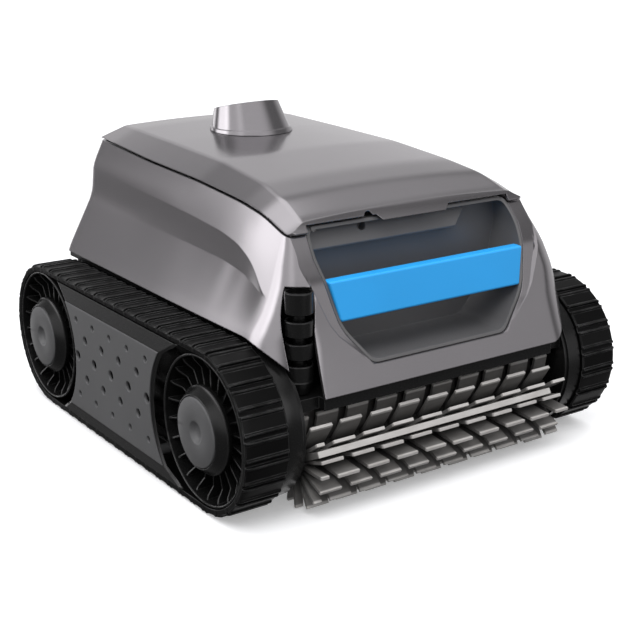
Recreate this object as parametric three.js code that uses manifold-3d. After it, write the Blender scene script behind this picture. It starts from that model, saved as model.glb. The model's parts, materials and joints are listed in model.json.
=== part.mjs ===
// Tracked robotic pool cleaner, in millimetres.
// +X is the machine's right seen from the front, the front faces -Y, +Z is up.
// The origin is on the floor, midway between the tracks and between the axles.
import * as THREE from 'three';
import { mergeVertices } from 'three/addons/utils/BufferGeometryUtils.js';
import Module from 'manifold-3d';

const wasm = await Module();
wasm.setup();

// ---- driving dimensions ----
const AXLE_Y = 148;             // half the wheelbase
const AXLE_Z = 69;              // height of the wheel centres
const TREAD_R = 69;             // outside of the track's lugs
const BELT_R = 66;              // outside of the track's band
const BELT_INNER_R = 62.4;
const BELT_X = [156, 195];      // inboard and outboard edges of the track
const LUG_COUNT = 52;
const WHEEL_R = 61.7;
const WHEEL_X = [157, 194];
const WHEEL_WEB_X = [170, 173.5];
const WHEEL_RIBS = 8;
const CAP_R = 36.5;
const CAP_FACE_X = 199.4;
const AXLE_R = 7;
const BORE_R = 7.2;             // faceted bores clear the shaft at every angle
const CHEEK_X = [138, 141];     // side plates of the tub
const CASING_X = [141.3, 154.7];
const CASING_R = 64.5;
const CASING_WALL = 3;
const GEAR_X = [146, 151.5];
const WHEEL_TEETH = 20;
const PINION_TEETH = 10;
const BRUSH_Y = 182.8;
const BRUSH_Z = 41.9;
const BRUSH_TIP_R = 41;
const BRUSH_CORE_R = 11.7;
const BRUSH_HALF = 136;
const BRUSH_SHAFT_R = 5;
const PANEL_X = 198.9;          // outer face of the perforated side panels
const PANEL_WALL = 2.5;
const PANEL_CUT_R = 69.7;
const SHELL_WALL = 3;
const DECK_Z = [88.5, 98.5];
const FLOOR_Z = [14, 17];
const FLANGE_Z = [135.5, 139.4];
const SKIRT_Z = 140;            // lower edge of the shell over the tracks
const OUTLET_Y = 83;
const LID_GAP = 1.2;
const LID_FRONT_Z = 223.4;      // lower edge of the lid over the recess
const FRONT_Y = -148;           // back wall of the handle recess
const LID_HINGE = { y: 188, z: 249, r: 2.4 };

// ---- materials ----
function paint(color, roughness, metalness) {
  return { color, roughness, metalness };
}
const SHELL_GREY = paint(0x8d8b90, 0.3, 0.7);
const PANEL_GREY = paint(0x55565a, 0.55, 0.1);
const DARK_GREY = paint(0x3a393c, 0.6, 0.0);
const BLACK = paint(0x17181a, 0.6, 0.0);
const RUBBER = paint(0x222325, 0.8, 0.0);
const BLUE = paint(0x2e9aee, 0.35, 0.0);
const BRUSH_GREY = paint(0x77777a, 0.7, 0.0);
const STEEL = paint(0xb9bcc0, 0.3, 1.0);
const NYLON = paint(0xd8d6cc, 0.5, 0.0);

// ---- geometry to solid and back ----
function signedVolume(position, index) {
  const [a, b, c] = [new THREE.Vector3(), new THREE.Vector3(), new THREE.Vector3()];
  let sum = 0;
  for (let i = 0; i < index.count; i += 3) {
    a.fromBufferAttribute(position, index.getX(i));
    b.fromBufferAttribute(position, index.getX(i + 1));
    c.fromBufferAttribute(position, index.getX(i + 2));
    sum += a.dot(b.cross(c));
  }
  return sum / 6;
}

function solid(source) {
  const geometry = source.clone();
  geometry.deleteAttribute('normal');
  geometry.deleteAttribute('uv');
  const merged = mergeVertices(geometry, 1e-4);
  const index = merged.index;
  const inward = signedVolume(merged.attributes.position, index) < 0;
  const triangles = [];
  for (let i = 0; i < index.count; i += 3) {
    const [a, b, c] = [index.getX(i), index.getX(i + 1), index.getX(i + 2)];
    if (a !== b && b !== c && c !== a) {
      triangles.push(...(inward ? [a, c, b] : [a, b, c]));
    }
  }
  return new wasm.Manifold(new wasm.Mesh({
    numProp: 3,
    vertProperties: new Float32Array(merged.attributes.position.array),
    triVerts: new Uint32Array(triangles),
  }));
}

function join(...solids) {
  return solids.reduce((whole, next) => whole.add(next));
}

function cut(body, ...tools) {
  return tools.reduce((rest, tool) => rest.subtract(tool), body);
}

function common(...solids) {
  return solids.reduce((rest, next) => rest.intersect(next));
}

function toGeometry(body, mirrored) {
  const mesh = body.getMesh();
  const corners = Float32Array.from(mesh.vertProperties);
  const triangles = Uint32Array.from(mesh.triVerts);
  if (mirrored) {
    for (let i = 0; i < corners.length; i += 3) {
      corners[i] = -corners[i];
    }
    for (let i = 0; i < triangles.length; i += 3) {
      [triangles[i + 1], triangles[i + 2]] = [triangles[i + 2], triangles[i + 1]];
    }
  }
  const geometry = new THREE.BufferGeometry();
  geometry.setAttribute('position', new THREE.BufferAttribute(corners, 3));
  geometry.setIndex(new THREE.BufferAttribute(triangles, 1));
  geometry.computeVertexNormals();
  return geometry;
}

const model = new THREE.Group();

function piece(name, body, finish, mirrored = false) {
  const mesh = new THREE.Mesh(toGeometry(body, mirrored), new THREE.MeshStandardMaterial(finish));
  mesh.name = name;
  model.add(mesh);
}

// A piece that exists on both sides: the solid is drawn on the right.
function pair(name, body, finish) {
  piece(`${name}_right`, body, finish);
  piece(`${name}_left`, body, finish, true);
}

// ---- primitive solids ----
const X = new THREE.Vector3(1, 0, 0);
const Y = new THREE.Vector3(0, 1, 0);
const Z = new THREE.Vector3(0, 0, 1);
const ALONG_X = new THREE.Matrix4().makeBasis(Y, Z, X);
const ALONG_Y = new THREE.Matrix4().makeBasis(X, Z, Y.clone().negate());
const TURN_X = new THREE.Matrix4().makeBasis(Y, X, Z.clone().negate());

function extruded(outline, depth) {
  const shape = new THREE.Shape(outline.map(([u, v]) => new THREE.Vector2(u, v)));
  return new THREE.ExtrudeGeometry(shape, { depth, bevelEnabled: false });
}

// Outline in (y, z), extruded from x0 to x1.
function prismX(outline, x0, x1) {
  return solid(extruded(outline, x1 - x0).applyMatrix4(ALONG_X).translate(x0, 0, 0));
}

// Outline in (x, z), extruded from y0 to y1.
function prismY(outline, y0, y1) {
  return solid(extruded(outline, y1 - y0).applyMatrix4(ALONG_Y).translate(0, y1, 0));
}

// Outline in (x, y), extruded from z0 to z1.
function prismZ(outline, z0, z1) {
  return solid(extruded(outline, z1 - z0).translate(0, 0, z0));
}

function box([x0, x1], [y0, y1], [z0, z1]) {
  const geometry = new THREE.BoxGeometry(x1 - x0, y1 - y0, z1 - z0);
  return solid(geometry.translate((x0 + x1) / 2, (y0 + y1) / 2, (z0 + z1) / 2));
}

// Profile of (radius, x) points turned about the line y, z.
function turnedX(profile, y, z, segments = 24) {
  const points = profile.map(([r, x]) => new THREE.Vector2(r, x));
  const closed = profile[0][0] === 0 ? points : [...points, points[0]];
  return solid(new THREE.LatheGeometry(closed, segments).applyMatrix4(TURN_X).translate(0, y, z));
}

// Profile of (radius, z) points turned about the vertical line x, y.
function turnedZ(profile, x, y, segments = 24) {
  const points = profile.map(([r, z]) => new THREE.Vector2(r, z));
  const closed = profile[0][0] === 0 ? points : [...points, points[0]];
  return solid(new THREE.LatheGeometry(closed, segments).applyMatrix4(ALONG_Y).translate(x, y, 0));
}

function rodX(radius, [x0, x1], y, z, segments = 24) {
  return turnedX([[0, x0], [radius, x0], [radius, x1], [0, x1]], y, z, segments);
}

function rodZ(radius, [z0, z1], x, y, segments = 24) {
  return turnedZ([[0, z0], [radius, z0], [radius, z1], [0, z1]], x, y, segments);
}

function tubeX(inner, outer, [x0, x1], y, z, segments = 24) {
  return turnedX([[inner, x0], [outer, x0], [outer, x1], [inner, x1]], y, z, segments);
}

function tubeZ(inner, outer, [z0, z1], x, y, segments = 24) {
  return turnedZ([[inner, z0], [outer, z0], [outer, z1], [inner, z1]], x, y, segments);
}

// Two half circles joined by straight runs, round the two axles, in (y, z).
function stadium(radius, steps = 16) {
  const outline = [];
  for (const [centre, start] of [[AXLE_Y, -Math.PI / 2], [-AXLE_Y, Math.PI / 2]]) {
    for (let i = 0; i <= steps; i += 1) {
      const angle = start + (Math.PI * i) / steps;
      outline.push([centre + radius * Math.cos(angle), AXLE_Z + radius * Math.sin(angle)]);
    }
  }
  return outline;
}

// Moves each edge of a counter-clockwise outline inwards by a distance.
function inset(outline, distance) {
  const count = outline.length;
  const normalOf = (i) => {
    const [a, b] = [outline[i], outline[(i + 1) % count]];
    const length = Math.hypot(b[0] - a[0], b[1] - a[1]);
    return [-(b[1] - a[1]) / length, (b[0] - a[0]) / length];
  };
  return outline.map(([u, v], i) => {
    const before = normalOf((i + count - 1) % count);
    const after = normalOf(i);
    const scale = distance / (1 + before[0] * after[0] + before[1] * after[1]);
    return [u + (before[0] + after[0]) * scale, v + (before[1] + after[1]) * scale];
  });
}

// A half outline on the right side and its mirror image on the left, counter-clockwise.
function bothSides(half) {
  return [...half, ...half.map(([x, v]) => [-x, v]).reverse()];
}

// ---- upper hull: one envelope that the shell and the lid are both cut from ----
const BELOW = 60;
// Half sections in (x, z) at stations along the machine, from the skirt up to the crown.
const STATIONS = [
  { y: -220, half: [[157, SKIRT_Z], [133, 190], [125, 206], [121, 215], [107, 220], [0, 223]] },
  { y: -158, half: [[157, SKIRT_Z], [135, 190], [126, 207], [121.5, 219], [107, 226], [0, 229]] },
  { y: -129, half: [[157, SKIRT_Z], [135, 192], [128, 211], [120.4, 228.2], [103, 237.5], [0, 240.5]] },
  { y: -93, half: [[157, SKIRT_Z], [135, 193], [127, 214], [119, 233], [97.5, 244.3], [0, 247.5]] },
  { y: -22, half: [[156.5, SKIRT_Z], [133, 194], [124.5, 218], [117, 238], [93.6, 251.6], [0, 254.5]] },
  { y: 72, half: [[155, SKIRT_Z], [129, 195], [123.5, 221], [115, 241.2], [90.7, 255.2], [0, 258]] },
  { y: 150, half: [[154, SKIRT_Z], [126.5, 195.4], [123, 223], [112.5, 245.5], [88.5, 257.5], [0, 260]] },
  { y: 200, half: [[153, SKIRT_Z], [125.8, 195.6], [122.9, 223.3], [111, 248.6], [82, 256.4], [0, 258.5]] },
];
const FRONT_PROFILE = [
  [-211.6, 99.5], [-206.7, 115], [-201.5, 133], [-197, 151], [-190, 184], [-178, 203], [-160, 225.6],
  [-150, 290],
];
const REAR_PROFILE = [[178, 290], [181.5, 248], [185, 200], [187, 150], [187, BELOW]];
// Front corners in plan, by height: where side and front would meet, and the rounding between them.
const CORNERS = [
  { z: BELOW, x: 161, y: -213, r: 43 }, { z: 99.5, x: 160, y: -213, r: 43 }, { z: 140, x: 158, y: -201, r: 46 },
  { z: 186, x: 137.5, y: -190.5, r: 46 }, { z: 206, x: 127, y: -177, r: 27 }, { z: 219, x: 123.5, y: -167, r: 9 },
  { z: 300, x: 123.5, y: -166, r: 9 },
];
const CORNER_STEPS = 5;

// Triangulated skin over equal rings, closed by a cap at each end.
function loft(rings, flat) {
  const count = rings[0].length;
  const corners = rings.flat(2);
  const triangles = [];
  for (let r = 0; r + 1 < rings.length; r += 1) {
    for (let i = 0; i < count; i += 1) {
      const [a, b] = [r * count + i, r * count + ((i + 1) % count)];
      triangles.push(a, b, b + count, a, b + count, a + count);
    }
  }
  const cap = flat.map(([u, v]) => new THREE.Vector2(u, v));
  for (const [a, b, c] of THREE.ShapeUtils.triangulateShape(cap, [])) {
    const last = (rings.length - 1) * count;
    triangles.push(a, c, b, last + a, last + b, last + c);
  }
  const geometry = new THREE.BufferGeometry();
  geometry.setAttribute('position', new THREE.BufferAttribute(new Float32Array(corners), 3));
  geometry.setIndex(triangles);
  return solid(geometry);
}

function sidesLoft(offset) {
  const outlines = STATIONS.map(({ half }) => (
    inset(bothSides([[half[0][0], BELOW], ...half.slice(0, -1), [20, half.at(-1)[1]]]), offset)
  ));
  return loft(outlines.map((outline, i) => outline.map(([x, z]) => [x, STATIONS[i].y, z])), outlines[0]);
}

function cornersLoft(offset) {
  const outlines = CORNERS.map(({ x, y, r }) => {
    const half = [];
    for (let i = 0; i <= CORNER_STEPS; i += 1) {
      const angle = (Math.PI / 2) * (i / CORNER_STEPS - 1);
      half.push([x - r + r * Math.cos(angle), y + r + r * Math.sin(angle)]);
    }
    return inset(bothSides([...half, [x + 4, 172], [x - 8, 230]]), offset);
  });
  return loft(outlines.map((outline, i) => outline.map(([x, y]) => [x, y, CORNERS[i].z])), outlines[0]);
}

function envelope(offset) {
  const side = inset([[-211.6, BELOW], ...REAR_PROFILE.slice().reverse(),
    ...FRONT_PROFILE.slice().reverse()], offset);
  return common(sidesLoft(offset), prismX(side, -180, 180), cornersLoft(offset));
}

// The joint line between lid and shell, seen from the side.
const PARTING = [[-230, 212], [-163, 217.5], [-158, 219], [-128.7, 228.2], [-92.6, 233], [-21.5, 237.9],
  [72.2, 241.2], [230, 250.4]];

function abovePartingLine(lift) {
  const line = PARTING.map(([y, z]) => [y, z + lift]);
  return prismX([...line, [230, 320], [-230, 320]], -180, 180);
}

// Recess for the handle, in (x, z); its top is closed by the lid's front edge.
const RECESS = bothSides([[69.5, 115.5], [92, 142], [97, 151.5], [104.5, 184], [107.5, 200], [104, 221.5]]);
const BUFFER = { x: -128.5, y: -188, r: 11.3 };
// Room for the buffer in the left front corner, in plan, below its top.
const BUFFER_NICHE = [[-143, -230], [-120.5, -230], [-120.5, -192], [-123, -177], [-134, -176], [-143, -183]];
const BUFFER_TOP = 181;

const outer = envelope(0);
const inner = envelope(SHELL_WALL);
const aboveDeck = box([-180, 180], [-230, 230], [DECK_Z[1] + 0.3, 300]);

// Room for a track and for the tub's cheek beside it, under the shell's skirt.
function trackTunnel(side) {
  const across = (a, b) => (side > 0 ? [a, b] : [-b, -a]);
  return join(
    prismX(stadium(SKIRT_Z - AXLE_Z, 12), ...across(140.8, 180)),
    box(across(140.8, 180), [-AXLE_Y, 230], [40, SKIRT_Z]),
    prismX(stadium(CASING_R - 1, 12), ...across(CHEEK_X[0] - 0.4, 141)),
  );
}

// Plates on the shell that carry the lid's pins, two for each hinge.
const EAR = [[180, 222], [186, 230], [192, 243], [192, 250], [188, 252.6], [184, 249], [183.4, 243], [180, 240]];
const KNUCKLE = [[178.5, 252.4], [186, 245.8], [190, 245.6], [192, 249], [190, 252.8], [181, 255.6]];
const HINGE_X = 35;

function hingePlates(outline, places, width) {
  return places.map((x) => cut(
    prismX(outline, x - width / 2, x + width / 2),
    rodX(LID_HINGE.r + 0.4, [x - width, x + width], LID_HINGE.y, LID_HINGE.z, 12),
  ));
}

function shellSolid() {
  const opening = [...RECESS.slice(0, 6), [102, 232], [-102, 232], ...RECESS.slice(6)];
  const niche = join(
    prismZ(BUFFER_NICHE, 60, BUFFER_TOP + 4),
    rodZ(BUFFER.r + 0.8, [80, BUFFER_TOP + 3], BUFFER.x, BUFFER.y, 16),
  );
  const rightToe = prismY([[120, 90], [150, 90], [150, 126], [140.9, 126], [138, 110], [131, 101.5]], -230, -178);
  const skin = cut(common(cut(outer, inner), aboveDeck), trackTunnel(1), trackTunnel(-1),
    abovePartingLine(-LID_GAP),
    prismY(opening, -230, -140), niche, rightToe);
  const places = [-1, 1].flatMap((side) => [side * (HINGE_X - 10), side * (HINGE_X + 10)]);
  return join(skin, ...hingePlates(EAR, places, 5));
}

function linerSolid() {
  const pocket = prismY(inset(RECESS, 0.4), -230, FRONT_Y + SHELL_WALL);
  return cut(common(pocket, envelope(1.8)), prismY(inset(RECESS, SHELL_WALL), -230, FRONT_Y));
}

function handleSolid() {
  const bar = [[-195.3, 151.5], [-186, 149.5], [-174, 156], [-172, 174], [-179, 183.4], [-188.8, 183]];
  return common(prismX(bar, -110, 110), prismY(inset(RECESS, SHELL_WALL + 0.3), -230, -140));
}

function lidSolid() {
  const skin = cut(common(cut(outer, inner), abovePartingLine(0)), rodZ(33, [200, 300], 0, OUTLET_Y, 24),
    box([-104.5, 104.5], [-230, -150], [200, LID_FRONT_Z]));
  const pull = prismX([[-167.2, 216.5], [-165.2, 216.5], [-159.6, 223.6], [-159, 226], [-161.4, 223.8]], -35, 35);
  return join(skin, pull, ...hingePlates(KNUCKLE, [-HINGE_X, HINGE_X], 14));
}

// ---- outlet: a leaning round nozzle on the lid, a grille under it, a duct with its propeller ----
const NOZZLE = { seat: 258, baseR: 38, topR: 29, height: 31, wall: 3 };

function leaningCone(inwards) {
  const [z0, z1] = [NOZZLE.seat - 8, NOZZLE.seat + 42];
  const slope = (NOZZLE.baseR - NOZZLE.topR) / NOZZLE.height;
  const radiusAt = (z) => NOZZLE.baseR - slope * (z - NOZZLE.seat) - inwards;
  const lean = new THREE.Matrix4().set(1, 0, 0, 0, 0, 1, slope, 0, 0, 0, 1, 0, 0, 0, 0, 1);
  const cone = new THREE.CylinderGeometry(radiusAt(z1), radiusAt(z0), z1 - z0, 24);
  cone.rotateX(Math.PI / 2).translate(0, 0, (z0 + z1) / 2 - NOZZLE.seat);
  return solid(cone.applyMatrix4(lean).translate(0, OUTLET_Y, NOZZLE.seat));
}

function nozzleSolid() {
  const mouth = prismX([[20, 297], [160, 264.4], [160, 330], [20, 330]], -60, 60);
  return cut(leaningCone(0), leaningCone(NOZZLE.wall), mouth, envelope(-0.3));
}

function grilleSolid() {
  const [z0, z1] = [253.6, 256.6];
  const ring = tubeZ(28, 32.4, [z0, z1], 0, OUTLET_Y, 24);
  const bars = [-14, 0, 14].map((x) => {
    const half = Math.sqrt(30 ** 2 - x ** 2);
    return box([x - 1.2, x + 1.2], [OUTLET_Y - half, OUTLET_Y + half], [z0, z1]);
  });
  return join(ring, ...bars);
}

const PUMP_TOP = 150;

function ductSolid() {
  const legs = [Math.PI / 2, (7 * Math.PI) / 6, (11 * Math.PI) / 6].map((angle) => {
    const leg = new THREE.BoxGeometry(3, 10, 44).translate(37, 0, PUMP_TOP + 0.3 + 22);
    return solid(leg.rotateZ(angle).translate(0, OUTLET_Y, 0));
  });
  return join(tubeZ(35.5, 38.4, [190, 246], 0, OUTLET_Y, 24), ...legs);
}

function propellerSolid() {
  const blades = [0, 1, 2, 3].map((i) => {
    const blade = new THREE.BoxGeometry(27, 15, 2).rotateX(Math.PI / 6).translate(19, 0, 231);
    return solid(blade.rotateZ((i * Math.PI) / 2).translate(0, OUTLET_Y, 0));
  });
  const hub = turnedZ([[0, PUMP_TOP + 0.4], [4, PUMP_TOP + 0.4], [4, 224], [8, 224], [8, 236], [4, 240], [0, 240]],
    0, OUTLET_Y, 16);
  return join(hub, ...blades);
}

// ---- tub: floor, end walls, decks over the brushes and the side cheeks ----
const TUB_END_Y = 137;
const DECK_Y = 209.6;
const DRIVE_Y = AXLE_Y - (WHEEL_TEETH + PINION_TEETH) / 2 * gearModule();
const INLET = { x: 42, y: [-68, -49] };

// Size of a tooth, from the distance between wheel and brush centres.
function gearModule() {
  const reach = Math.hypot(BRUSH_Y - AXLE_Y, BRUSH_Z - AXLE_Z);
  return reach / ((WHEEL_TEETH + PINION_TEETH) / 2 + PINION_TEETH);
}

// The front corner buffer stands partly in the cheek and the casing.
const bufferPocket = rodZ(BUFFER.r + 0.6, [80, 184], -BUFFER.x, BUFFER.y, 12);

function shaftHoles([x0, x1]) {
  const ends = [-1, 1];
  return [
    ...ends.map((end) => rodX(AXLE_R + 0.4, [x0, x1], end * AXLE_Y, AXLE_Z, 16)),
    ...ends.map((end) => rodX(9, [x0, x1], end * BRUSH_Y, BRUSH_Z, 16)),
    rodX(5.6, [x0, x1], DRIVE_Y, AXLE_Z, 12),
  ];
}

function tubSolid() {
  const cheek = cut(
    join(
      prismX(stadium(CASING_R - 1.5, 12), ...CHEEK_X),
      box(CHEEK_X, [-125, 178], [AXLE_Z, FLANGE_Z[1]]),
      box([CHEEK_X[1] - 1, 152], [-118, 178], FLANGE_Z),
    ),
    ...shaftHoles([130, 150]),
    bufferPocket,
  );
  const mirrored = solid(toGeometry(cheek, true));
  const floor = cut(
    box([-CHEEK_X[1] + 1, CHEEK_X[1] - 1], [-TUB_END_Y, TUB_END_Y], FLOOR_Z),
    box([-INLET.x, INLET.x], INLET.y, [0, 30]),
  );
  const ends = [-1, 1].flatMap((end) => {
    const span = (a, b) => (end < 0 ? [-b, -a] : [a, b]);
    return [
      box([-139, 139], span(TUB_END_Y - 3, TUB_END_Y), [FLOOR_Z[0], DECK_Z[0] + 2]),
      box([-139, 139], span(TUB_END_Y - 3, 202), DECK_Z),
      box([-120, 120], span(190, DECK_Y), DECK_Z),
    ];
  });
  return join(cheek, mirrored, floor, ...ends);
}

function bufferSolid() {
  const base = DECK_Z[1] + 0.3;
  const pitch = (BUFFER_TOP - base - 13) / 4;
  const profile = [[0, base], [6.5, base], [9.4, base + 9]];
  for (let i = 0; i < 4; i += 1) {
    const z = base + 13 + i * pitch;
    profile.push([9.2, z - 2], [BUFFER.r - 0.8, z], [BUFFER.r, z + pitch - 3]);
  }
  profile.push([BUFFER.r - 0.8, BUFFER_TOP], [8.3, BUFFER_TOP], [7.4, BUFFER_TOP - 6], [0, BUFFER_TOP - 6]);
  return turnedZ(profile, BUFFER.x, BUFFER.y, 12);
}

// ---- gears ----
const MODULE = gearModule();
const MESH_ANGLE = Math.atan2(BRUSH_Z - AXLE_Z, BRUSH_Y - AXLE_Y);
const IDLER_REACH = ((WHEEL_TEETH + PINION_TEETH) / 2) * MODULE;

// Straight-flanked teeth with backlash; one tooth points along the given angle.
function gearX(teeth, [x0, x1], y, z, toothAngle) {
  const pitchR = (teeth * MODULE) / 2;
  const step = (2 * Math.PI) / teeth;
  const outline = [];
  for (let i = 0; i < teeth; i += 1) {
    const centre = toothAngle + i * step;
    for (const [radius, share] of [[-1.2, -0.36], [0.8, -0.12], [0.8, 0.12], [-1.2, 0.36]]) {
      const r = pitchR + radius * MODULE;
      outline.push([y + r * Math.cos(centre + share * step), z + r * Math.sin(centre + share * step)]);
    }
  }
  return prismX(outline, x0, x1);
}

// Gear fixed to a wheel; its tooth meets the idler, or the drive pinion, in a gap.
function wheelGearSolid(end) {
  const toIdler = end > 0 ? MESH_ANGLE : Math.PI - MESH_ANGLE;
  const gear = gearX(WHEEL_TEETH, GEAR_X, end * AXLE_Y, AXLE_Z, toIdler);
  const collar = rodX(11.5, [GEAR_X[0], 155.2], end * AXLE_Y, AXLE_Z, 16);
  return cut(join(gear, collar), rodX(BORE_R + 0.1, [140, 160], end * AXLE_Y, AXLE_Z, 16));
}

function idlerPlace(end) {
  return [end * (AXLE_Y + IDLER_REACH * Math.cos(MESH_ANGLE)), AXLE_Z + IDLER_REACH * Math.sin(MESH_ANGLE)];
}

function idlerSolid(end) {
  const [y, z] = idlerPlace(end);
  const toWheel = end > 0 ? MESH_ANGLE + Math.PI : -MESH_ANGLE;
  const gear = gearX(PINION_TEETH, GEAR_X, y, z, toWheel + Math.PI / PINION_TEETH);
  return cut(gear, rodX(4.2, [140, 160], y, z, 12));
}

function brushPinionSolid(end) {
  const toIdler = end > 0 ? MESH_ANGLE + Math.PI : -MESH_ANGLE;
  const gear = gearX(PINION_TEETH, GEAR_X, end * BRUSH_Y, BRUSH_Z, toIdler);
  return cut(gear, rodX(BRUSH_SHAFT_R + 0.3, [140, 160], end * BRUSH_Y, BRUSH_Z, 12));
}

// The drive pinion meets the rear wheel's gear at the side away from the brush.
function drivePinionSolid() {
  const wheelStep = (2 * Math.PI) / WHEEL_TEETH;
  const pinionStep = (2 * Math.PI) / PINION_TEETH;
  const fraction = (((Math.PI - MESH_ANGLE) / wheelStep) % 1 + 1) % 1;
  const toothAngle = pinionStep / 2 + fraction * pinionStep;
  const gear = gearX(PINION_TEETH, GEAR_X, DRIVE_Y, AXLE_Z, toothAngle);
  return join(gear, rodX(4.5, [CHEEK_X[0] - 0.1, GEAR_X[1]], DRIVE_Y, AXLE_Z, 12));
}

// ---- running gear ----
const POSTS = [-60, 60].flatMap((y) => [20, 118].map((z) => [y, z]));

function casingSolid(end) {
  const tray = cut(
    prismX(stadium(CASING_R, 12), ...CASING_X),
    prismX(stadium(CASING_R - CASING_WALL, 12), CASING_X[0] + 3.5, 160),
    ...shaftHoles([140, 150]),
    bufferPocket,
  );
  const bosses = POSTS.map(([y, z]) => rodX(6.5, [CASING_X[0] + 3, CASING_X[1]], y, z, 8));
  return join(tray, ...bosses, rodX(3.9, [CASING_X[0] + 3, 152.5], ...idlerPlace(end), 12));
}

function beltSolid() {
  const straight = 2 * AXLE_Y;
  const arc = Math.PI * BELT_R;
  const pointAt = (distance, radius) => {
    const length = 2 * (straight + arc);
    const s = ((distance % length) + length) % length;
    if (s < straight) return [AXLE_Y - s, AXLE_Z + radius];
    if (s < straight + arc) {
      const angle = Math.PI / 2 + (s - straight) / BELT_R;
      return [-AXLE_Y + radius * Math.cos(angle), AXLE_Z + radius * Math.sin(angle)];
    }
    if (s < 2 * straight + arc) return [-AXLE_Y + (s - straight - arc), AXLE_Z - radius];
    const angle = -Math.PI / 2 + (s - 2 * straight - arc) / BELT_R;
    return [AXLE_Y + radius * Math.cos(angle), AXLE_Z + radius * Math.sin(angle)];
  };
  const pitch = (2 * (straight + arc)) / LUG_COUNT;
  const outline = [];
  for (let i = 0; i < LUG_COUNT; i += 1) {
    const corners = [[0.04, BELT_R], [0.1, TREAD_R], [0.84, TREAD_R], [0.9, BELT_R]];
    corners.forEach(([share, radius]) => outline.push(pointAt((i + share) * pitch, radius)));
  }
  return cut(prismX(outline, ...BELT_X), prismX(stadium(BELT_INNER_R), BELT_X[0] - 5, BELT_X[1] + 5));
}

function wheelSolid(y) {
  const [web0, web1] = WHEEL_WEB_X;
  const dish = turnedX([
    [9.6, 155.5], [14, 155.5], [14, web0], [WHEEL_R - 3, web0], [WHEEL_R - 3, WHEEL_X[0]],
    [WHEEL_R, WHEEL_X[0]], [WHEEL_R, WHEEL_X[1]], [WHEEL_R - 3, WHEEL_X[1]], [WHEEL_R - 3, web1],
    [30, web1], [30, 186.5], [9.6, 186.5],
  ], y, AXLE_Z, 20);
  const ribs = [];
  for (let i = 0; i < WHEEL_RIBS; i += 1) {
    const rib = new THREE.BoxGeometry(13, 31, 2.4).translate(web1 + 6.4, 44.5, 0);
    ribs.push(solid(rib.rotateX(((i + 0.5) * 2 * Math.PI) / WHEEL_RIBS).translate(0, y, AXLE_Z)));
  }
  return join(dish, ...ribs);
}

function capSolid(y) {
  const profile = [[0, 187], [34, 187], [CAP_R, 189], [CAP_R, 194.5], [31, CAP_FACE_X], [8, CAP_FACE_X],
    [6, 196.4], [0, 195.6]];
  return turnedX(profile, y, AXLE_Z, 16);
}

// A front wheel without a gear runs against a shoulder on its axle.
function axleSolid(y, shoulder) {
  const axle = rodX(AXLE_R, [CHEEK_X[0] + 0.2, 186], y, AXLE_Z, 16);
  return shoulder ? join(axle, rodX(10, [CASING_X[0] + 3.8, 155.2], y, AXLE_Z, 16)) : axle;
}

function panelSolid() {
  const inside = PANEL_X - PANEL_WALL;
  const chamfer = [[192.9, 7.6], [195.4, 7.6], [PANEL_X, 20.5], [PANEL_X, 117.5], [195.4, 130.6],
    [192.9, 130.6], [inside, 117], [inside, 21]];
  const plate = cut(
    common(prismY(chamfer, -118, 118), box([180, 210], [-116, 116], [0, 140])),
    ...[-1, 1].map((end) => rodX(PANEL_CUT_R, [180, 210], end * AXLE_Y, AXLE_Z, 36)),
  );
  const holes = [];
  const rows = [[106.1, 5, 2.6], [90.2, 4, 4], [72.2, 5, 4.8], [53.5, 4, 4], [35.5, 5, 2.6]];
  for (const [z, count, radius] of rows) {
    for (let i = 0; i < count; i += 1) {
      const y = (i - (count - 1) / 2) * 33.3;
      holes.push(rodX(radius, [190, 205], y, z, 6));
    }
  }
  const posts = POSTS.map(([y, z]) => rodX(5, [CASING_X[1] + 0.3, 197], y, z, 8));
  return join(cut(plate, ...holes), ...posts);
}

// ---- brushes ----
function rollerSolid(end) {
  const driven = [end > 0 ? 1 : -1, GEAR_X[1]];
  const free = [-driven[0], CASING_X[0] + 3.4];
  const stubs = [driven, free].map(([side, reach]) => {
    const span = side > 0 ? [BRUSH_HALF - 2, reach] : [-reach, 2 - BRUSH_HALF];
    return rodX(BRUSH_SHAFT_R, span, end * BRUSH_Y, BRUSH_Z, 12);
  });
  return join(rodX(BRUSH_CORE_R, [-BRUSH_HALF, BRUSH_HALF], end * BRUSH_Y, BRUSH_Z, 16), ...stubs);
}

function bladesSolid(end) {
  const sleeve = tubeX(BRUSH_CORE_R + 0.3, BRUSH_CORE_R + 2.6, [2 - BRUSH_HALF, BRUSH_HALF - 2],
    end * BRUSH_Y, BRUSH_Z, 16);
  const blades = [];
  const columns = 4;
  const pitch = (2 * BRUSH_HALF - 8) / columns;
  for (let column = 0; column < columns; column += 1) {
    const x = (column - (columns - 1) / 2) * pitch;
    for (let i = 0; i < 5; i += 1) {
      const turn = ((i + (column % 2) / 2) * 2 * Math.PI) / 5;
      const reach = BRUSH_TIP_R - BRUSH_CORE_R - 1.3;
      const blade = new THREE.BoxGeometry(pitch - 8, reach, 3).translate(x, BRUSH_TIP_R - reach / 2, 0);
      blades.push(solid(blade.rotateX(turn).translate(0, end * BRUSH_Y, BRUSH_Z)));
    }
  }
  return join(sleeve, ...blades);
}

// ---- inside the hull ----
function pumpSolid() {
  const profile = [[0, 17.3], [36, 17.3], [41, 24], [41, 140], [38.4, PUMP_TOP], [0, PUMP_TOP]];
  return turnedZ(profile, 0, OUTLET_Y, 20);
}

function driveMotorSolid() {
  const gearbox = box([104, CHEEK_X[0] - 0.4], [92, 133], [48, 94]);
  return join(gearbox, rodX(18, [50, 105], 111, 68, 16));
}

const BASKET = { x: 86, y: [-128, 30], z: [FLOOR_Z[1] + 0.3, 196], floor: [46, 49] };

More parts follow.
